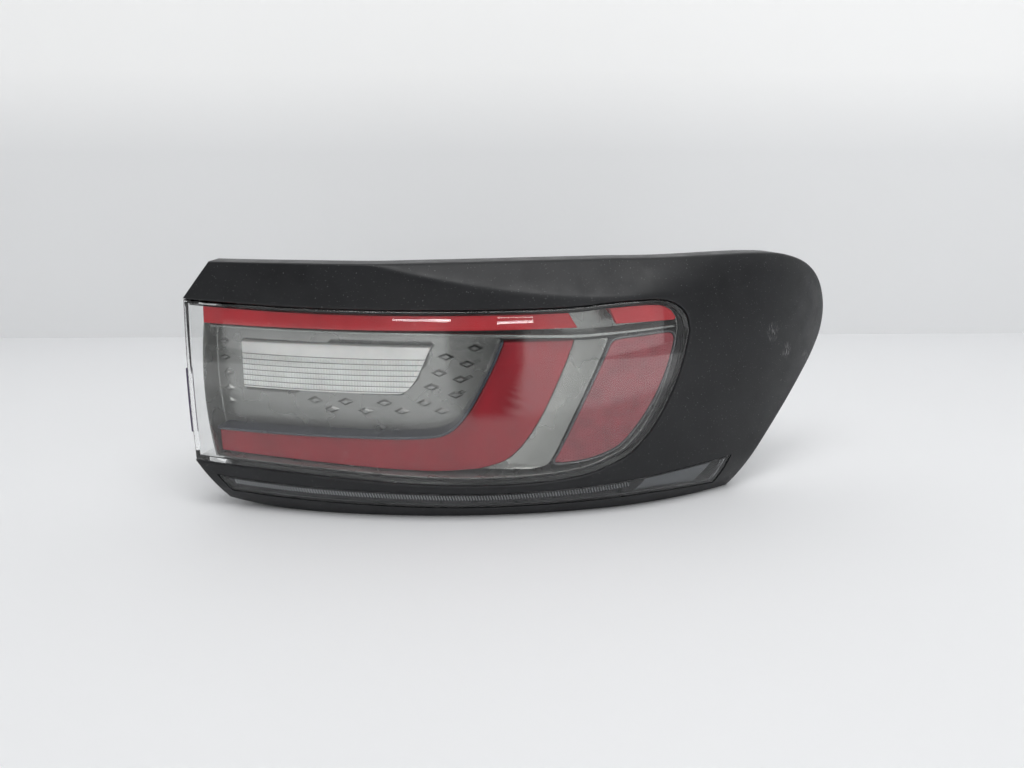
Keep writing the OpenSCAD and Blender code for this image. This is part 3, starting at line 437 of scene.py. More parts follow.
def settle(obj, material, slot, *nodes):
    """Gives a finished piece its material and body, and hides what it stands for; the slot is not used."""
    if material is not None:
        obj.data.materials.clear()
        obj.data.materials.append(material)
    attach(obj, BODY)
    if nodes:
        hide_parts(*nodes)
    return obj


# Nodes and repeats

def add_node(tree, kind, inputs=(), out=None, **settings):
    """Adds a node, sets or links its inputs by name or place, and gives one of its outputs."""
    made = tree.nodes.new(kind)
    for key, value in settings.items():
        setattr(made, key, value)
    live = [socket for socket in made.inputs if socket.enabled]
    for key, value in dict(inputs).items():
        socket = live[key] if isinstance(key, int) else next(s for s in live if s.name == key)
        if isinstance(value, bpy.types.NodeSocket):
            tree.links.new(value, socket)
        else:
            socket.default_value = value
    return made.outputs[out] if out else next((s for s in made.outputs if s.enabled), None)


REPEAT = {}


def repeat_tree():
    """Geometry nodes that stand a part on every point, at the point's own turn and size."""
    tree = bpy.data.node_groups.new("Repeat on points", "GeometryNodeTree")
    for label, kind in (("Geometry", "Geometry"), ("Part", "Object"), ("Width", "Float"), ("Depth", "Float"),
                        ("Height", "Float"), ("Size Play", "Float"), ("Seed", "Int"), ("Finish", "Material")):
        socket = tree.interface.new_socket(label, in_out="INPUT", socket_type="NodeSocket" + kind)
        REPEAT[label] = socket.identifier
    tree.interface.new_socket("Geometry", in_out="OUTPUT", socket_type="NodeSocketGeometry")
    given = tree.nodes.new("NodeGroupInput").outputs
    turn, size = (add_node(tree, "GeometryNodeInputNamedAttribute", {"Name": label}, data_type="FLOAT_VECTOR")
                  for label in ("turn", "size"))
    scale = add_node(tree, "ShaderNodeCombineXYZ",
                     {"X": given["Width"], "Y": given["Depth"], "Z": given["Height"]})
    own = add_node(tree, "ShaderNodeVectorMath", {0: scale, 1: size}, operation="MULTIPLY")
    low, high = (add_node(tree, "ShaderNodeMath", {0: 1.0, 1: given["Size Play"]}, operation=operation)
                 for operation in ("SUBTRACT", "ADD"))
    play = add_node(tree, "FunctionNodeRandomValue", {"Min": low, "Max": high, "Seed": given["Seed"]},
                    data_type="FLOAT")
    stand = add_node(tree, "GeometryNodeInstanceOnPoints", {
        "Points": given["Geometry"],
        "Instance": add_node(tree, "GeometryNodeObjectInfo", {"Object": given["Part"]}, out="Geometry"),
        "Rotation": add_node(tree, "FunctionNodeEulerToRotation", {"Euler": turn}),
        "Scale": add_node(tree, "ShaderNodeVectorMath", {0: own, "Scale": play}, operation="SCALE")})
    plain = add_node(tree, "GeometryNodeRealizeInstances", {"Geometry": stand})
    paint = add_node(tree, "GeometryNodeSetMaterial", {"Geometry": plain, "Material": given["Finish"]})
    add_node(tree, "NodeGroupOutput", {"Geometry": paint})
    return tree


def repeated(name, part, places, turns, material, width=1.0, depth=1.0, height=1.0, sizes=None, play=0.0,
             seed=1):
    """A plain mesh of a unit part stood on each place, in millimetres."""
    tree = bpy.data.node_groups.get("Repeat on points") or repeat_tree()
    mesh = bpy.data.meshes.new(name)
    mesh.from_pydata((np.asarray(places) * MM).tolist(), [], [])
    turn = mesh.attributes.new("turn", "FLOAT_VECTOR", "POINT")
    turn.data.foreach_set("vector", np.asarray(turns, np.float32).ravel())
    size = mesh.attributes.new("size", "FLOAT_VECTOR", "POINT")
    sizes = np.ones((len(places), 3)) if sizes is None else np.asarray(sizes)
    size.data.foreach_set("vector", sizes.astype(np.float32).ravel())
    obj = bpy.data.objects.new(name, mesh)
    bpy.context.scene.collection.objects.link(obj)
    made = obj.modifiers.new("repeat", "NODES")
    made.node_group = tree
    values = {"Part": part, "Width": width, "Depth": depth, "Height": height, "Size Play": play,
              "Seed": seed, "Finish": material}
    for label, setting in values.items():
        made[REPEAT[label]] = setting
    bpy.context.view_layer.update()
    applied(obj)
    bpy.data.objects.remove(part)
    for label in ("turn", "size"):
        if label in obj.data.attributes:
            obj.data.attributes.remove(obj.data.attributes[label])
    return obj


def lozenge_part():
    """Raised lozenge, one unit wide and high, its top face small."""
    ring = [(0.5, 0), (0, 0.5), (-0.5, 0), (0, -0.5)]
    points = [(x, 0.3, z) for x, z in ring] + [(0.42 * x, -1, 0.42 * z) for x, z in ring]
    faces = [(i, (i + 1) % 4, 4 + (i + 1) % 4, 4 + i) for i in range(4)]
    return new_object("part", points, [(4, 5, 6, 7), (3, 2, 1, 0)] + faces, sharp=15)


def pillow_part(steps=4):
    """Crowned cushion, one unit wide and high."""
    share = np.linspace(-0.5, 0.5, steps + 1)
    points, faces = [], []
    for x in share:
        for z in share:
            points.append((x, -math.cos(math.pi * x * 0.9) * math.cos(math.pi * z * 0.9), z))
    side = steps + 1
    for i in range(steps):
        for j in range(steps):
            a = i * side + j
            faces.append((a, a + side, a + side + 1, a + 1))
    rim = [i * side for i in range(side)] + [steps * side + j for j in range(1, side)]
    rim += [i * side + steps for i in range(steps - 1, -1, -1)] + list(range(steps - 1, 0, -1))
    base = len(points)
    points += [(points[i][0], 0.4, points[i][2]) for i in rim]
    for k in range(len(rim)):
        l = (k + 1) % len(rim)
        faces.append((rim[k], base + k, base + l, rim[l]))
    faces.append(tuple(base + k for k in range(len(rim) - 1, -1, -1)))
    return new_object("part", points, faces, sharp=50)


def prism_part():
    """Three sided pyramid, one unit across."""
    ring = [(0.5 * math.cos(a), 0.5 * math.sin(a)) for a in (0.0, 2 * math.pi / 3, 4 * math.pi / 3)]
    points = [(x, 0.2, z) for x, z in ring] + [(0, -0.5, 0)]
    return new_object("part", points, [(0, 1, 3), (1, 2, 3), (2, 0, 3), (2, 1, 0)], sharp=5)


def tooth_part():
    """Wedge, one unit wide and high, whose foot slants outwards."""
    points = [(0.0, 0.5, -0.5), (1.0, 0.5, -0.5), (0.5, -0.5, -0.5),
              (-1.0, 0.5, 0.5), (0.0, 0.5, 0.5), (-0.5, -0.5, 0.5)]
    faces = [(0, 1, 2), (5, 4, 3), (0, 2, 5, 3), (2, 1, 4, 5), (1, 0, 3, 4)]
    return new_object("part", points, faces, sharp=5)


def screw_part(sides=48):
    """Round screw head with a six lobed recess, one unit in radius, its face towards +Y."""
    lobes = 0.36 + 0.07 * np.cos(6 * np.linspace(0, 2 * math.pi, sides, endpoint=False))
    profile = [(1.0, -0.05), (1.0, 0.45), (0.86, 0.72), (0.62, 0.84), (lobes, 0.84), (lobes, 0.3)]
    return new_object("part", *turned(profile, segments=sides), sharp=35)


# Finishes

class Finish:
    """A node material that is put together step by step."""

    def __init__(self, name, colour, rough, metallic=0.0, coat=0.0, ior=1.5):
        self.material = bpy.data.materials.new(name)
        self.material.use_nodes = True
        self.material.diffuse_color = (*colour, 1.0)
        self.tree = self.material.node_tree
        self.tree.nodes.clear()
        self.result = self.tree.nodes.new("ShaderNodeOutputMaterial").inputs["Surface"]
        self.shader = self.tree.nodes.new("ShaderNodeBsdfPrincipled")
        self.tree.links.new(self.shader.outputs["BSDF"], self.result)
        self.place = self.node("ShaderNodeTexCoord", out="Object")
        self.colour, self.rough = colour, rough
        self.set({"Base Color": (*colour, 1.0), "Roughness": rough, "Metallic": metallic, "Coat Weight": coat,
                  "Coat Roughness": 0.04, "IOR": ior})

    def set(self, values):
        for label, value in values.items():
            self.shader.inputs[label].default_value = value

    def node(self, kind, inputs=(), out=None, **settings):
        return add_node(self.tree, kind, inputs, out, **settings)

    def feed(self, label, socket):
        self.tree.links.new(socket, self.shader.inputs[label])
        return self

    def noise(self, size, detail=3.0, stretched=(1, 1, 1), rough=0.55):
        """Noise whose blots are about size millimetres across."""
        turn = self.node("ShaderNodeMapping", {"Vector": self.place, "Scale": stretched})
        return self.node("ShaderNodeTexNoise", {"Vector": turn, "Scale": 1 / (size * MM), "Detail": detail,
                                                "Roughness": rough}, out="Fac")

    def ramp(self, value, low, high, start=0.0, end=1.0):
        return self.node("ShaderNodeMapRange", {"Value": value, "From Min": low, "From Max": high,
                                                "To Min": start, "To Max": end})

    def maths(self, operation, a, b):
        return self.node("ShaderNodeMath", {0: a, 1: b}, operation=operation)

    def blend(self, share, a, b):
        """A colour between a and b, each a colour or a socket."""
        a, b = (v if isinstance(v, bpy.types.NodeSocket) else (*v, 1.0) for v in (a, b))
        return self.node("ShaderNodeMix", {"Factor": share, "A": a, "B": b}, data_type="RGBA")

    def tinted(self, share, vary):
        """The piece's own colour, a little lighter and darker where share says."""
        low = tuple(c * (1 - vary) for c in self.colour)
        high = tuple(min(1.0, c * (1 + vary)) for c in self.colour)
        return self.blend(share, low, high)

    def near(self, centre, radius):
        """1 at a point of the piece, 0 further off than the radius, in metres."""
        off = self.node("ShaderNodeVectorMath", {0: self.place, 1: centre}, "Value", operation="DISTANCE")
        return self.ramp(off, radius, radius * 0.2)

    def height(self):
        return self.node("ShaderNodeSeparateXYZ", {"Vector": self.place}, "Z")

    def rows(self, pitch, start, share):
        """1 on level lines pitch millimetres apart, 0 between them."""
        wave = self.node("ShaderNodeTexWave", {
            "Vector": self.place, "Scale": 2 * math.pi / (20 * pitch * MM),
            "Phase Offset": -2 * math.pi * start / pitch}, "Fac", bands_direction="Z")
        return self.ramp(wave, 0.0, share, 1.0, 0.0)

    def clear_where(self, *shares, tint=(1.0, 1.0, 1.0)):
        """Lets rays through where any of the shares is 1."""
        share = shares[0]
        for other in shares[1:]:
            share = self.maths("MAXIMUM", share, other)
        through = self.node("ShaderNodeBsdfTransparent", {"Color": (*tint, 1.0)})
        mix = self.node("ShaderNodeMixShader", {0: share, 1: self.shader.outputs["BSDF"], 2: through})
        self.tree.links.new(mix, self.result)

    def edges(self, amount):
        """Where the mesh is convex, for wear along edges."""
        return self.ramp(self.node("ShaderNodeNewGeometry", out="Pointiness"), 0.52, 0.6, 0.0, amount)

    def bump(self, height, depth, strength=1.0):
        inputs = {"Distance": depth * MM, "Strength": strength, "Height": height}
        old = self.shader.inputs["Normal"]
        if old.is_linked:
            inputs["Normal"] = old.links[0].from_socket
        return self.feed("Normal", self.node("ShaderNodeBump", inputs))

    def paint(self, socket):
        return self.feed("Base Color", socket)

    def roughen(self, value, low, high):
        """Roughness that wanders by a share of itself."""
        ends = self.rough * 0.8, min(1.0, self.rough * 1.25)
        return self.feed("Roughness", self.ramp(value, low, high, *ends))


def moulded(name, colour, rough, grain=0.6, depth=0.03, vary=0.14, wear=0.25, **settings):
    """Moulded plastic, metal or rubber with grain, cloudiness and worn edges."""
    f = Finish(name, colour, rough, **settings)
    cloud = f.noise(22, 4)
    colour_socket = f.tinted(f.ramp(cloud, 0.35, 0.65), vary)
    worn = tuple(min(1.0, c * 1.6 + 0.03) for c in colour)
    f.paint(f.blend(f.edges(wear), colour_socket, worn))
    f.roughen(f.noise(9, 5), 0.3, 0.7)
    f.bump(f.noise(grain, 2), depth)
    return f.material


def glass(name, colour, ior):
    """Clear plastic that bends light, and lets lamps through to what is behind it."""
    f = Finish(name, colour, 0.0, ior=ior)
    f.set({"Transmission Weight": 1.0})
    f.paint(f.tinted(f.ramp(f.noise(30, 3), 0.3, 0.7), 0.01))
    f.bump(f.noise(18, 1), 0.05, 0.25)
    f.clear_where(f.node("ShaderNodeLightPath", out="Is Shadow Ray"), tint=colour)
    return f.material


def cover_finish(settings):
    """Satin black with a fine grain, faint dust and scuffs by the nose."""
    f = Finish("Cover satin black", tuple(settings.colour), settings.roughness)
    f.set({"Specular IOR Level": 0.34})
    base = f.tinted(f.ramp(f.noise(35, 5), 0.35, 0.65), 0.18)
    specks = f.ramp(f.noise(0.9, 1, rough=0.3), 0.735, 0.78, 0.0, 0.35)
    base = f.blend(specks, base, (0.35, 0.35, 0.35))
    for x, y, z, r in SCUFFS:
        mask = f.near((x * MM, y * MM, z * MM), r * MM)
        lines = f.ramp(f.noise(2.4, 3, stretched=(3.0, 3.0, 0.5)), 0.52, 0.62)
        base = f.blend(f.maths("MULTIPLY", mask, lines), base, (0.24, 0.24, 0.24))
    worn = f.edges(0.2)
    f.paint(f.blend(worn, base, (0.12, 0.12, 0.125)))
    f.roughen(f.noise(14, 5), 0.3, 0.7)
    f.bump(f.noise(settings.grain, 2, rough=0.6), 0.035, 0.6)
    return f.material


def guide_finish(name, colour, settings):
    """Red light guide with fine upright draw lines."""
    f = Finish(name, colour, settings.guide_roughness, coat=0.12, ior=1.49)
    f.set({"Specular IOR Level": 0.3, "Subsurface Weight": 0.12, "Subsurface Radius": (1.0, 0.15, 0.1),
           "Subsurface Scale": 0.004})
    cloud = f.noise(26, 3, stretched=(1, 1, 0.6))
    f.paint(f.tinted(f.ramp(cloud, 0.3, 0.7), 0.16))
    f.roughen(f.noise(12, 4), 0.3, 0.7)
    f.bump(f.noise(1.6, 2, stretched=(1, 0.2, 0.08)), 0.05, 0.5)
    return f.material


def metallised(name, colour, rough):
    """Dark vapour coated plastic."""
    f = Finish(name, colour, rough, metallic=0.85)
    f.paint(f.tinted(f.ramp(f.noise(45, 2), 0.3, 0.7), 0.07))
    f.roughen(f.noise(30, 2), 0.3, 0.7)
    f.bump(f.noise(24, 1), 0.05, 0.25)
    return f.material


SCUFFS = [(199.6, 6.6, 128.6, 9.0), (216.2, 18.5, 110.0, 8.0), (239.0, 40.2, 98.5, 6.0)]


# Settings

class StageSettings(bpy.types.PropertyGroup):
    """Sizes and colours of the stage."""
    floor: FloatVectorProperty(
        name="Floor", description="Colour of the floor", subtype="COLOR", default=(0.84, 0.845, 0.855))
    wall: FloatVectorProperty(
        name="Wall", description="Colour of the backdrop", subtype="COLOR", default=(0.85, 0.855, 0.86))
    # Painted light: the backdrop above the lamp is painted this lighter colour, standing in for more light
    # falling on the upper wall
    wall_top_painted_light: FloatVectorProperty(
        name="Wall top", description="Colour of the backdrop above the lamp", subtype="COLOR",
        default=(0.99, 0.99, 0.985))
    wall_distance: FloatProperty(
        name="Wall distance", description="From the lamp's middle to the backdrop", default=0.479,
        unit="LENGTH")
    sky: FloatProperty(name="Sky", description="Strength of the light from all round", default=0.42)
    backdrop: FloatProperty(
        name="Backdrop", description="Brightness of what is seen beyond the floor", default=0.82)
    key: FloatProperty(
        name="Key light", description="Power of the large lamp overhead", default=17.0, unit="POWER")
    fill: FloatProperty(
        name="Fill light", description="Power of the lamp in front", default=3.5, unit="POWER")
    streak: FloatProperty(
        name="Streaks", description="Brightness of the two slim lamps that the lens mirrors", default=12.0)


class CoverSettings(bpy.types.PropertyGroup):
    """Finish of the cover panel."""
    colour: FloatVectorProperty(
        name="Colour", description="Colour of the panel", subtype="COLOR", default=(0.0105, 0.011, 0.0125))
    roughness: FloatProperty(
        name="Roughness", description="Roughness of the satin face", default=0.36, subtype="FACTOR")
    grain: FloatProperty(name="Grain", description="Size of the grain in millimetres", default=0.7)
    edge: FloatProperty(name="Edge", description="Rounding of the edges in millimetres", default=COVER_EDGE)


class LensSettings(bpy.types.PropertyGroup):
    """Finish of the clear pieces."""
    tint: FloatVectorProperty(
        name="Tint", description="Colour of the outer lens", subtype="COLOR", default=(0.98, 0.985, 0.983))
    smoke: FloatVectorProperty(
        name="Smoke", description="Colour of the strip lens", subtype="COLOR", default=(0.62, 0.63, 0.64))
    bending: FloatProperty(name="Bending", description="How strongly the plastic bends light", default=1.46)
    edge: FloatProperty(name="Edge", description="Rounding of the front edge in millimetres", default=1.5)


class InnerSettings(bpy.types.PropertyGroup):
    """Sizes and colours of what is behind the lens."""
    bezel: FloatVectorProperty(
        name="Bezel", description="Colour of the bezel", subtype="COLOR", default=(0.21, 0.213, 0.206))
    side: FloatVectorProperty(
        name="Side bezel", description="Colour of the piece by the reflector", subtype="COLOR",
        default=(0.245, 0.25, 0.238))
    red: FloatVectorProperty(
        name="Red", description="Colour of the two upper light guides", subtype="COLOR",
        default=(0.35, 0.007, 0.014))
    hook_red: FloatVectorProperty(
        name="Hook red", description="Colour of the hook light guide", subtype="COLOR",
        default=(0.235, 0.006, 0.014))
    reflex: FloatVectorProperty(
        name="Reflex", description="Colour of the reflector", subtype="COLOR", default=(0.2, 0.022, 0.032))
    guide_roughness: FloatProperty(
        name="Guide roughness", description="Roughness of the guides", default=0.22, subtype="FACTOR")
    lozenge: FloatProperty(
        name="Lozenge", description="Width of a raised lozenge in millimetres", default=15.0)
    prism: FloatProperty(
        name="Prism", description="Pitch of the reflector prisms in millimetres", default=2.3)
    pillow: FloatProperty(
        name="Pillow", description="Pitch of the reversing optic's pillows in millimetres", default=2.2)
    pillow_rows: IntProperty(name="Pillow rows", description="Rows of pillows", default=6)


class StripSettings(bpy.types.PropertyGroup):
    """Sizes of the lower strip."""
    tooth: FloatProperty(name="Tooth", description="Pitch of the teeth in millimetres", default=2.2)
    height: FloatProperty(name="Height", description="Height of a tooth in millimetres", default=3.6)


class RearSettings(bpy.types.PropertyGroup):
    """Colours of the housing and what is fixed to it."""
    housing: FloatVectorProperty(
        name="Housing", description="Colour of the housing", subtype="COLOR", default=(0.035, 0.035, 0.038))
    metal: FloatVectorProperty(
        name="Metal", description="Colour of the cooling plate", subtype="COLOR", default=(0.6, 0.61, 0.63))
    thread: FloatProperty(name="Thread", description="Pitch of the stud thread in millimetres", default=1.0)


# Operators

STAGE_REACH, WALL_SWING = 4.0, 1.08
CAMERA_PLACE, CAMERA_TILT = (-0.012, -0.7005, 0.314), 72.0
CAMERA_LENS, CAMERA_SENSOR = 31.64, 36.0


class LAMP_OT_stage(bpy.types.Operator):
    """Builds the floor, backdrop, lights and camera"""
    bl_idname = "lamp.stage"
    bl_label = "Stage"

    def execute(self, context):
        settings = context.scene.lamp_stage
        scene = context.scene
        scene.view_settings.view_transform = "Standard"
        r = STAGE_REACH
        near, far = (settings.wall_distance + math.radians(WALL_SWING) * x for x in (-r, r))
        for name, corners, colour in (
            ("floor", [(-r, -r, 0), (r, -r, 0), (r, r, 0), (-r, r, 0)], settings.floor),
            ("backdrop", [(-r, near, -0.3), (r, far, -0.3), (r, far, 3), (-r, near, 3)], settings.wall),
        ):
            obj = new_object(name, np.array(corners) / MM, [(0, 1, 2, 3)])
            f = Finish("Stage " + name, tuple(colour), 0.65)
            shade = f.tinted(f.ramp(f.noise(600, 2), 0.3, 0.7), 0.012)
            if name == "backdrop":
                # Painted light: the backdrop is painted lighter from 0.24 m to 0.34 m up, for the brighter
                # light on the upper wall
                shade = f.blend(f.ramp(f.height(), 0.24, 0.34), shade, tuple(settings.wall_top_painted_light))
                f.clear_where(f.node("ShaderNodeNewGeometry", out="Backfacing"))
            f.paint(shade)
            f.set({"Specular IOR Level": 0.2})
            obj.data.materials.append(f.material)
        for name, corner, across_x, along in (
            ("apron", (-1.3, -3.36, 0.0004), (2.8, 0, 0), (0, 3.0, 0)),
            ("far side", (-4.0, -3.4, -0.1), (8.0, 0, 0), (0, 0, 2.6)),
        ):
            glow_card(name, corner, across_x, along)
        world = bpy.data.worlds.new("Room")
        scene.world = world
        world.use_nodes = True
        sky = world.node_tree.nodes["Background"]
        sky.inputs["Color"].default_value = (0.97, 0.985, 1.0, 1.0)
        seen = add_node(world.node_tree, "ShaderNodeLightPath", out="Is Camera Ray")
        level = add_node(world.node_tree, "ShaderNodeMapRange", {
            "Value": seen, "To Min": settings.sky, "To Max": settings.backdrop})
        world.node_tree.links.new(level, sky.inputs["Strength"])
        for name, place, target, size, power in (
            ("key", (0.1, -0.55, 1.9), (0.0, 0.05, 0.05), (1.9, 0.85), settings.key),
            ("fill", (0.8, -1.5, 1.5), (0.05, 0.0, 0.1), (1.4, 0.9), settings.fill),
            ("streak left", (-0.34, -2.0, 0.44), (0, 0, 0.15), (0.44, 0.035), settings.streak * 0.048),
            ("streak right", (0.37, -2.0, 0.41), (0, 0, 0.15), (0.28, 0.016), settings.streak * 0.014),
        ):
            data = bpy.data.lights.new(name, "AREA")
            data.shape, data.size, data.size_y, data.energy = "RECTANGLE", *size, power
            lamp = bpy.data.objects.new(name, data)
            lamp.location = place
            lamp.visible_camera = False
            lamp.rotation_euler = (Vector(target) - Vector(place)).to_track_quat("-Z", "Y").to_euler()
            scene.collection.objects.link(lamp)
        data = bpy.data.cameras.new("camera")
        data.sensor_width, data.lens = CAMERA_SENSOR, CAMERA_LENS
        data.clip_start, data.clip_end = 0.01, 50
        camera = bpy.data.objects.new("camera", data)
        camera.location = CAMERA_PLACE
        camera.rotation_euler = (math.radians(CAMERA_TILT), 0, 0)
        scene.collection.objects.link(camera)
        scene.camera = camera
        return {"FINISHED"}


GLOW_LEFT, GLOW_GAP, GLOW_RIGHT, GLOW_FLOOR = 1.25, 0.1, 1.35, 0.8
GLOW_HIGH, GLOW_HIGH_RIGHT = 0.3, 0.55


def ease(t):
    """Soft step from 0 to 1."""
    t = np.clip(t, 0, 1)
    return t ** 2 * (3 - 2 * t)


def glow_at(x, y, z):
    """Brightness of the room in front of the lamp, as its lens mirrors it."""
    off = -y - 0.26
    left, right = -0.04 - 0.055 * off, 0.02 + 0.23 * off
    soft = 0.02 + 0.035 * off
    glow = (GLOW_LEFT + (GLOW_GAP - GLOW_LEFT) * ease((x - left) / soft + 0.5)
            + (GLOW_RIGHT - GLOW_GAP) * ease((x - right) / soft + 0.5))
    high = ease((z - 0.3) / 0.25)
    glow = glow * (1 - high) + (GLOW_HIGH + GLOW_HIGH_RIGHT * ease((x - 0.5) / 0.8)) * high
    return np.where(z < 0.01, GLOW_FLOOR + (glow - GLOW_FLOOR) * ease((-y - 0.36) / 0.1), glow)


def glow_card(name, corner, across_x, along, steps=90):
    """A card of the stage out of the picture, bright where glow_at says."""
    share = np.linspace(0, 1, steps + 1)
    u, v = (a.ravel() for a in np.meshgrid(share, share, indexing="ij"))
    points = np.array(corner) + np.outer(u, across_x) + np.outer(v, along)
    side = steps + 1
    cells = [(i * side + j, (i + 1) * side + j, (i + 1) * side + j + 1, i * side + j + 1)
             for i in range(steps) for j in range(steps)]
    card = new_object(name, points / MM, cells)
    glow = card.data.attributes.new("glow", "FLOAT", "POINT")
    glow.data.foreach_set("value", glow_at(*points.T).astype(np.float32))
    f = Finish("Stage " + name, (0.02, 0.02, 0.02), 1.0)
    f.set({"Specular IOR Level": 0.0, "Emission Color": (0.98, 0.99, 1.0, 1.0)})
    f.feed("Emission Strength", f.node("ShaderNodeAttribute", out="Fac", attribute_name="glow"))
    clear = [f.node("ShaderNodeLightPath", out="Is Camera Ray")]
    if along[2] == 0:
        clear += [f.node("ShaderNodeLightPath", out="Is Shadow Ray"),
                  f.node("ShaderNodeNewGeometry", out="Backfacing")]
    f.clear_where(*clear)
    card.data.materials.append(f.material)
    return card


class LAMP_OT_cover(bpy.types.Operator):
    """Builds the cover panel with its crease, haunch and screw towers"""
    bl_idname = "lamp.cover"
    bl_label = "Cover panel"

    def execute(self, context):
        settings = context.scene.lamp_cover
        layers = rounded(settings.edge) + [
            layer(0, COVER_RETURN, COVER_LIP), layer(COVER_WALL, COVER_RETURN, COVER_LIP),
            layer(COVER_WALL, COVER_WALL)]
        panel = shell("panel", cover_outline(FINE), layers, 44)
        channel = shell("channel", STRIP, [layer(-0.4, -5), layer(-0.4, COVER_WALL + 2)], 1)
        cut(panel, [channel])
        parts = [panel]
        for x in TOWER_X:
            at = (x, TOWER_Z)
            tip = float(plan_y(x) + recess(x, TOWER_Z)) + LUG_DROP
            tube = [(4.0, tip - LUG_DROP + 4.5), (4.3, tip - 9), (4.0, tip - 0.3), (3.7, tip), (1.6, tip),
                    (1.35, tip - 0.4), (1.35, tip - 9)]
            parts.append(new_object("tower", *turned(tube, at, FRONT_Y)))
        settle(joined("cover_skin", parts), cover_finish(settings), "cover_black", "cover_panel")
        return {"FINISHED"}


class LAMP_OT_lens(bpy.types.Operator):
    """Builds the outer lens"""
    bl_idname = "lamp.lens"
    bl_label = "Outer lens"

    def execute(self, context):
        settings = context.scene.lamp_lens
        layers = rounded(settings.edge) + [
            layer(0, LENS_DEPTH, LENS_DEPTH, END_DEPTH), layer(LENS_WALL, LENS_DEPTH, LENS_DEPTH, END_DEPTH),
            layer(LENS_WALL, LENS_WALL + 1), layer(LENS_WALL + 1, LENS_WALL)]
        lens = shell("clear_lens", lens_outline(FINE), layers, 32)
        settle(lens, glass("Lens clear", tuple(settings.tint), settings.bending), "lens_clear",
               "outer_lens")
        return {"FINISHED"}


class LAMP_OT_bezel(bpy.types.Operator):
    """Builds the bezel field with its window and raised lozenges"""
    bl_idname = "lamp.bezel"
    bl_label = "Inner bezel"

    def execute(self, context):
        settings = context.scene.lamp_inner
        inner = inset(lens_outline(FINE), LENS_WALL + 0.6)
        sides = (trimmed(inner[0], 8.4), trimmed(inner[1], 11.4), LENS_BOW, LENS_BOW)
        finish = metallised("Bezel grey", tuple(settings.bezel), 0.26)
        rim = [layer(a, RIM_HIGH + d, RIM_LOW + d) for a, d in (
            (RIM_W, 0.6), (RIM_W - 0.3, 0.1), (RIM_W / 2, 0), (0.3, 0.1), (0, 0.5))]
        field = shell("field", sides, [
            layer(3.0, FIELD), layer(2.3, FIELD - 0.4), layer(2.0, FIELD - 1.5), *rim,
            layer(1, BEZEL_BACK)], 24)
        window = shell("window", OPTIC, [layer(-0.4, FIELD - 4), layer(-0.4, BEZEL_BACK + 4)], 1)
        cut(field, [window])
        field.name = "bezel_field"
        settle(field, finish, "bezel_grey", "inner_bezel")
        spots = np.array(LOZENGES)
        places, sizes = spots[:, :2], spots[:, 2:3]
        relief = repeated("bezel_lozenges", lozenge_part(), skin(places, FIELD), skin_turn(places), finish,
                          width=settings.lozenge, depth=1.6, height=settings.lozenge * 0.47,
                          sizes=np.repeat(sizes, 3, axis=1))
        settle(relief, None, "bezel_grey")
        return {"FINISHED"}


LOZENGES = [
    (-242, 130, 0.78), (-242.2, 117.5, 0.78), (-240.5, 105.2, 0.78), (-240, 93.2, 0.78), (-240, 83, 0.78),
    (-167.2, 88.7, 1.0), (-142.2, 88.6, 1.0), (-153.6, 82.2, 1.0), (-126, 81.8, 1.0), (-110.8, 88.5, 1.0),
    (-78.8, 89, 1.0), (-97, 82.3, 1.0), (-61.4, 124.4, 1.0), (-38.9, 130.7, 1.0), (-45, 118.8, 1.0),
    (-66.9, 112.1, 1.0), (-50.4, 107.2, 1.0), (-73.1, 101.3, 1.0), (-54.3, 95.3, 1.0), (-65.2, 82.7, 1.0),
    (-37, 121, 0.5), (-43, 109, 0.5), (-49, 97.5, 0.5)]


class LAMP_OT_guides(bpy.types.Operator):
    """Builds the red light guides"""
    bl_idname = "lamp.guides"
    bl_label = "Light guides"

    def execute(self, context):
        settings = context.scene.lamp_inner
        red = guide_finish("Guide red", tuple(settings.red), settings)
        hook_red = guide_finish("Hook red", tuple(settings.hook_red), settings)
        back = LIP_DEPTH + LIP_T
        lip = rounded(0.8, LIP_DEPTH) + [layer(0, back), layer(LIP_W, back), layer(LIP_W + 0.6, GUIDE_BACK)]
        arm = rounded(0.8, HOOK_DEPTH) + [layer(0.6, GUIDE_BACK)]
        for name, node, sides, layers, rows, finish in (
            ("upper_guide", "upper_light_guide", UPPER_GUIDE, lip, 10, red),
            ("hook_guide", "hook_light_guide", HOOK, arm, 20, hook_red),
            ("end_guide", "end_light_guide", END_GUIDE, lip, 8, red),
        ):
            settle(shell(name, sides, layers, rows), finish, "guide_red", node)
        return {"FINISHED"}


class LAMP_OT_trims(bpy.types.Operator):
    """Builds the rims and shelves between the guides"""
    bl_idname = "lamp.trims"
    bl_label = "Trims"

    def execute(self, context):
        settings = context.scene.lamp_inner
        dark = moulded("Trim dark", (0.02, 0.022, 0.032), 0.15, grain=12, depth=0.02, wear=0.0, coat=0.5)
        rim = (shifted(HOOK[1], 0.7), shifted(HOOK[1], 2.9), 0.0)
        shelf = metallised("Shelf grey", (0.24, 0.25, 0.24), 0.18)
        side = metallised("Bezel smoke", tuple(settings.side), 0.28)
        for name, node, sides, front, rows, finish, slot in (
            ("hook_rim", "hook_trim", rim, (0.5, HOOK_DEPTH - 3), 3, dark, "trim_dark"),
            ("divider_shelf", "divider_trim", DIVIDER, (0.6, DIVIDER_DEPTH), 4, shelf, "trim_dark"),
            ("side_panel", "side_bezel", SIDE_BEZEL, (0.6, SIDE_DEPTH, SIDE_FALL), 10, side,
             "bezel_smoke"),
        ):
            layers = rounded(*front) + [layer(0, GUIDE_BACK)]
            settle(shell(name, sides, layers, rows), finish, slot, node)
        return {"FINISHED"}


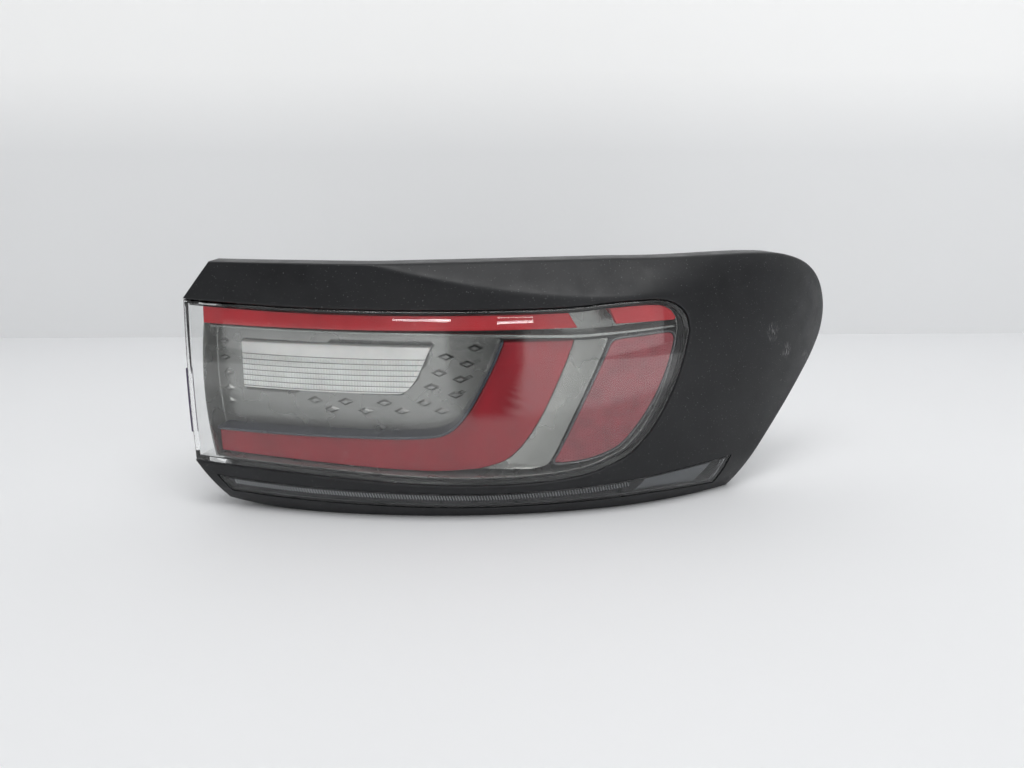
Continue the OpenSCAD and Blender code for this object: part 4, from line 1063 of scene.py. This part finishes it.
class LAMP_OT_reflex(bpy.types.Operator):
    """Builds the reflex reflector, its prisms and its frame"""
    bl_idname = "lamp.reflex"
    bl_label = "Reflex reflector"

    def execute(self, context):
        settings = context.scene.lamp_inner
        colour = tuple(settings.reflex)
        f = Finish("Reflex red", colour, 0.16, coat=0.5, ior=1.49)
        f.paint(f.tinted(f.ramp(f.noise(14, 3), 0.3, 0.7), 0.2))
        f.roughen(f.noise(5, 4), 0.3, 0.7)
        f.bump(f.noise(0.8, 2), 0.02)
        plate = shell("reflex_plate", REFLEX, rounded(0.6, REFLEX_DEPTH) + [layer(0, REFLEX_DEPTH + 6)], 16)
        settle(plate, f.material, "reflex_red", "reflex_reflector")
        dark = moulded("Reflex frame", (0.05, 0.05, 0.053), 0.25, grain=12, depth=0.02, wear=0.0, coat=0.3)
        top, edge = REFLEX_DEPTH - 0.6, REFLEX_DEPTH - 0.4
        ring = shell("reflex_surround", REFLEX, [
            layer(-1.5, top), layer(-1.7, edge), layer(-1.7, GUIDE_BACK),
            layer(-0.5, GUIDE_BACK), layer(-0.5, edge), layer(-0.7, top)], 24, ring=True)
        settle(ring, dark, "trim_dark", "reflex_frame")
        loop = wrap(inset(REFLEX, 1.6), 24)
        turn = math.radians(PRISM_TURN)
        spots = [p for p in grid_spots(loop, settings.prism, turn) if inside(p, loop)]
        size = settings.prism * 1.15
        prisms = repeated("reflex_prisms", prism_part(), skin(spots, REFLEX_DEPTH), skin_turn(spots, turn),
                          f.material, width=size, depth=1.0, height=size)
        settle(prisms, None, "reflex_red")
        return {"FINISHED"}


PRISM_TURN, TRIANGLE_HEIGHT = 35.0, 0.866


def grid_spots(loop, pitch, turn):
    """Points of a turned triangular grid over the box of a loop."""
    low, high = loop.min(0), loop.max(0)
    middle, reach = (low + high) / 2, np.linalg.norm(high - low) / 2
    count = int(reach / pitch) + 2
    c, s = math.cos(turn), math.sin(turn)
    spots = []
    for i in range(-count, count + 1):
        for j in range(-count, count + 1):
            u, v = (i + (j % 2) / 2) * pitch, j * pitch * TRIANGLE_HEIGHT
            spots.append((middle[0] + u * c - v * s, middle[1] + u * s + v * c))
    return spots


def inside(p, loop):
    """Whether a point lies within a closed loop."""
    x, z = p
    odd = False
    for a, b in zip(loop, np.roll(loop, -1, axis=0)):
        if (a[1] > z) != (b[1] > z) and x < (b[0] - a[0]) * (z - a[1]) / (b[1] - a[1]) + a[0]:
            odd = not odd
    return odd


PILLOW_H, PILLOW_FOOT, PILLOW_TOP = 4.15, 98.1, (0.1235, 0.124)


class LAMP_OT_optic(bpy.types.Operator):
    """Builds the reversing optic with its rows of pillows"""
    bl_idname = "lamp.optic"
    bl_label = "Reversing optic"

    def execute(self, context):
        settings = context.scene.lamp_inner
        f = Finish("Optic white", (0.6, 0.6, 0.585), 0.12, coat=0.5, ior=1.49)
        f.set({"Subsurface Weight": 0.15, "Subsurface Scale": 0.003})
        # Painted shade: dark level lines between the rows of pillows, below the top row, stand in for the
        # shade in the grooves between them
        below = f.ramp(f.height(), *PILLOW_TOP, 1.0, 0.0)
        row_gap_shade = f.maths("MULTIPLY", f.rows(PILLOW_H, PILLOW_FOOT, 0.12), below)
        f.paint(f.blend(row_gap_shade, f.tinted(f.ramp(f.noise(20, 3), 0.3, 0.7), 0.08), (0.16, 0.16, 0.15)))
        f.roughen(f.noise(6, 4), 0.3, 0.7)
        f.bump(f.noise(2.0, 2, stretched=(1, 1, 0.2)), 0.05, 0.4)
        plate = shell("reversing_lens", OPTIC, rounded(0.8, OPTIC_DEPTH) + [layer(0, BEZEL_BACK + SEAT)], 12)
        settle(plate, f.material, "optic_white", "reverse_optic")
        loop = wrap(inset(OPTIC, 1.2), 8)
        low, high = loop.min(0), loop.max(0)
        reach_x, reach_z = 0.9, PILLOW_H / 2.3
        corners = [(a, b) for a in (-reach_x, reach_x) for b in (-reach_z, reach_z)]
        spots = []
        for j in range(settings.pillow_rows):
            for i in range(int((high[0] - low[0]) / settings.pillow)):
                p = (low[0] + (i + 0.5) * settings.pillow, PILLOW_FOOT + (j + 0.5) * PILLOW_H)
                if all(inside((p[0] + a, p[1] + b), loop) for a, b in corners):
                    spots.append(p)
        places = skin(spots, OPTIC_DEPTH + 0.1)
        pillows = repeated("reversing_pillows", pillow_part(), places, skin_turn(spots), f.material,
                           width=settings.pillow, depth=0.7, height=PILLOW_H * 0.97)
        settle(pillows, None, "optic_white")
        return {"FINISHED"}


class LAMP_OT_strip(bpy.types.Operator):
    """Builds the lower strip with its lens, tray, light guide and teeth"""
    bl_idname = "lamp.strip"
    bl_label = "Lower strip"

    def execute(self, context):
        settings = context.scene.lamp_strip
        lens_settings = context.scene.lamp_lens
        lens = shell("strip_cover", STRIP, rounded(0.8, 0.2) + [
            layer(0, STRIP_FLANGE), layer(-3, STRIP_FLANGE), layer(-3, STRIP_FLANGE + 2),
            layer(2.2, STRIP_FLANGE + 2), layer(2.2, 2.4)], 6)
        settle(lens, glass("Strip smoke", tuple(lens_settings.smoke), lens_settings.bending),
               "strip_smoke", "strip_lens")
        black = moulded("Tray black", (0.03, 0.03, 0.032), 0.3)
        tray = shell("strip_tray", STRIP, [
            layer(2, STRIP_DEPTH), layer(0, CARRIER_RIM), layer(-3, CARRIER_RIM), layer(-3, CARRIER_RIM + 2),
            layer(-1.5, CARRIER_RIM + 2), layer(0.5, STRIP_DEPTH + 2)], 4)
        settle(tray, black, "carrier_black", "strip_carrier")
        clear = moulded("Strip guide clear", (0.95, 0.96, 0.97), 0.12, coat=0.5, wear=0.0)
        path = stretch(STRIP_UPPER, *GUIDE_RUN, 160)
        sides = (shifted(path, 3), shifted(path, 8), 0.0)
        dim = moulded("Strip guide grey", (0.035, 0.036, 0.038), 0.2, coat=0.3)
        layers = rounded(0.4, STRIP_GUIDE_DEPTH) + [layer(0, STRIP_DEPTH - SEAT)]
        settle(shell("strip_guide", sides, layers, 2), dim, "strip_guide_clear", "strip_light_guide")
        end = STRIP_GUIDE_DEPTH + 0.5
        cap = shell("strip_end_cap", STRIP_END, rounded(0.4, end) + [
            layer(0, STRIP_DEPTH - SEAT), layer(1.2, STRIP_DEPTH - SEAT), layer(1.2, end + 1.2)], 6)
        settle(cap, metallised("Strip grey", (0.3, 0.31, 0.32), 0.3), "bezel_smoke", "strip_reflector")
        line = shifted(stretch(STRIP_UPPER, *GUIDE_RUN, 400), 5.2)
        count = int(np.linalg.norm(np.diff(line, axis=0), axis=1).sum() / settings.tooth)
        spots = points_at(line, (np.arange(count) + 0.5) / count)
        places = skin(spots, STRIP_GUIDE_DEPTH - 0.4)
        teeth = repeated("strip_teeth", tooth_part(), places, skin_turn(spots), clear,
                         width=settings.tooth * 0.5, depth=1.4, height=settings.height)
        settle(teeth, None, "strip_guide_clear")
        return {"FINISHED"}


TOWER_X, TOWER_Z, LUG_DROP = (-185, -45, 95), 180.0, 16.0


class LAMP_OT_rear(bpy.types.Operator):
    """Builds the housing and the pieces fixed to its back"""
    bl_idname = "lamp.rear"
    bl_label = "Housing and rear pieces"

    def execute(self, context):
        settings = context.scene.lamp_rear
        black = moulded("Housing black", tuple(settings.housing), 0.5, grain=0.9, depth=0.05)
        satin = moulded("Module black", (0.03, 0.03, 0.032), 0.42, grain=0.5)
        foam = moulded("Foam black", (0.04, 0.04, 0.043), 0.92, grain=1.4, depth=0.35, wear=0.0)
        metal = moulded("Cast aluminium", tuple(settings.metal), 0.42, grain=1.2, depth=0.06, metallic=1.0)
        dark = moulded("End seal", (0.05, 0.035, 0.085), 0.45)
        for name, node, slot, finish, width in (
            ("housing_shell", "housing", "housing_black", black, 0.5),
            ("cooling_plate", "heat_sink", "sink_aluminium", metal, 0.25),
            ("module_case", "control_module", "module_black", satin, 0.6),
            ("socket_body", "connector_socket", "socket_black", satin, 0.25),
            ("stand_bracket", "foot_bracket", "bracket_black", black, 0.4),
            ("nose_arm", "nose_bracket", "bracket_black", black, 0.4),
            ("body_seal", "rear_gasket", "foam_black", foam, 1.2),
            ("vent_buttons", "vent_caps", "socket_black", satin, 0.6),
            ("end_strip", "end_seal_strip", "end_seal_dark", dark, 0.4),
        ):
            settle(refined(name, node, width), finish, slot, node)
        return {"FINISHED"}


class LAMP_OT_fixings(bpy.types.Operator):
    """Builds the fixing studs, the locating pin and the screws"""
    bl_idname = "lamp.fixings"
    bl_label = "Fixings"

    def execute(self, context):
        settings = context.scene.lamp_rear
        zinc = moulded("Zinc steel", (0.58, 0.58, 0.57), 0.3, grain=1.8, depth=0.04, metallic=1.0, wear=0.1)
        for name, node in (("stud_inner", "fixing_stud_inner"), ("stud_outer", "fixing_stud_outer")):
            low, high = (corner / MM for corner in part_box(node))
            at = ((low.x + high.x) / 2, (low.z + high.z) / 2)
            start, end = low.y - FRONT_Y, high.y - FRONT_Y
            seat = HOUSING_BACK + 8 + SEAT
            profile = [(3.0, start), (3.0, seat), (6.7, seat), (7.0, seat + 0.3), (7.0, seat + 1.7),
                       (6.7, seat + 2), (3.0, seat + 2)]
            y = seat + 3.5
            while y < end - 2:
                profile += [(2.65, y), (3.0, y + settings.thread * 0.5)]
                y += settings.thread
            profile += [(2.6, end - 0.8), (2.2, end)]
            settle(new_object(name, *turned(profile, at, FRONT_Y), sharp=20), zinc, "zinc_steel", node)
        settle(refined("nose_pin", "locating_pin", 0.3), zinc, "zinc_steel", "locating_pin")
        for node in ("cover_screws", "module_screws", "sink_screws", "foot_screws"):
            places, r = screw_places(node)
            turns = [(0.0, 0.7 * i, 0.0) for i in range(len(places))]
            heads = repeated(node + "_heads", screw_part(), places, turns, zinc,
                             width=r, depth=2.5, height=r)
            settle(heads, None, "zinc_steel", node)
        return {"FINISHED"}


def screw_places(node):
    """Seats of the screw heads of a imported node, and their radius, in millimetres."""
    graph = merged(node)
    left, places, radius = set(graph.verts), [], 0.0
    while left:
        island, queue = [], [left.pop()]
        while queue:
            vert = queue.pop()
            island.append(vert.co.copy())
            for edge in vert.link_edges:
                other = edge.other_vert(vert)
                if other in left:
                    left.remove(other)
                    queue.append(other)
        co = np.array(island) / MM
        low, high = co.min(0), co.max(0)
        places.append(((low[0] + high[0]) / 2, high[1] - 2.2, (low[2] + high[2]) / 2))
        radius = (high[0] - low[0]) / 2
    graph.free()
    return sorted(places), radius


class LAMP_OT_electronics(bpy.types.Operator):
    """Gives the boards, light sources, contacts and seals their finishes"""
    bl_idname = "lamp.electronics"
    bl_label = "Electronics and seals"

    def execute(self, context):
        board = moulded("Board green", (0.02, 0.12, 0.05), 0.35, grain=2.2, depth=0.04, vary=0.3)
        led = moulded("Light source", (0.8, 0.72, 0.3), 0.3, grain=0.6)
        silver = moulded("Reflector silver", (0.78, 0.78, 0.79), 0.12, grain=3.0, metallic=1.0, wear=0.0)
        brass = moulded("Contact brass", (0.7, 0.52, 0.22), 0.25, metallic=1.0)
        rubber = moulded("Seal black", (0.02, 0.02, 0.02), 0.7)
        zinc = bpy.data.materials.get("Zinc steel")
        for finish, nodes in (
            (board, ("reverse_led_board", "tail_led_board", "upper_led_board", "side_led_board",
                     "strip_led_board")),
            (led, ("reverse_leds", "tail_leds")), (silver, ("reverse_reflector",)),
            (brass, ("connector_pins",)), (rubber, ("lens_seal",)), (zinc, ("board_screws",)),
        ):
            for node in nodes:
                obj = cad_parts[node]
                obj.data.materials.clear()
                obj.data.materials.append(finish)
        return {"FINISHED"}


class LAMP_PT_pieces(bpy.types.Panel):
    """Lists the pieces of the tail light"""
    bl_idname = "LAMP_PT_pieces"
    bl_label = "Tail light"
    bl_space_type = "VIEW_3D"
    bl_region_type = "UI"
    bl_category = "Tail light"

    def draw(self, context):
        for group in SETTINGS:
            box = self.layout.box()
            settings = getattr(context.scene, group)
            for label in settings.bl_rna.properties.keys():
                if label not in ("rna_type", "name"):
                    box.prop(settings, label)
        for operator in OPERATORS:
            self.layout.operator(operator.bl_idname)


SETTINGS = {"lamp_stage": StageSettings, "lamp_cover": CoverSettings, "lamp_lens": LensSettings,
            "lamp_inner": InnerSettings, "lamp_strip": StripSettings, "lamp_rear": RearSettings}
OPERATORS = [LAMP_OT_stage, LAMP_OT_cover, LAMP_OT_lens, LAMP_OT_bezel, LAMP_OT_guides, LAMP_OT_trims,
             LAMP_OT_reflex, LAMP_OT_optic, LAMP_OT_strip, LAMP_OT_rear, LAMP_OT_fixings,
             LAMP_OT_electronics]


def register():
    for cls in [*SETTINGS.values(), *OPERATORS, LAMP_PT_pieces]:
        bpy.utils.register_class(cls)
    for name, cls in SETTINGS.items():
        setattr(bpy.types.Scene, name, PointerProperty(type=cls))


def unregister():
    for name in SETTINGS:
        delattr(bpy.types.Scene, name)
    for cls in reversed([*SETTINGS.values(), *OPERATORS, LAMP_PT_pieces]):
        bpy.utils.unregister_class(cls)


def main():
    register()
    bpy.ops.lamp.stage()
    bpy.ops.lamp.cover()
    bpy.ops.lamp.lens()
    bpy.ops.lamp.bezel()
    bpy.ops.lamp.guides()
    bpy.ops.lamp.trims()
    bpy.ops.lamp.reflex()
    bpy.ops.lamp.optic()
    bpy.ops.lamp.strip()
    bpy.ops.lamp.rear()
    bpy.ops.lamp.fixings()
    bpy.ops.lamp.electronics()


if __name__ == "__main__":
    main()
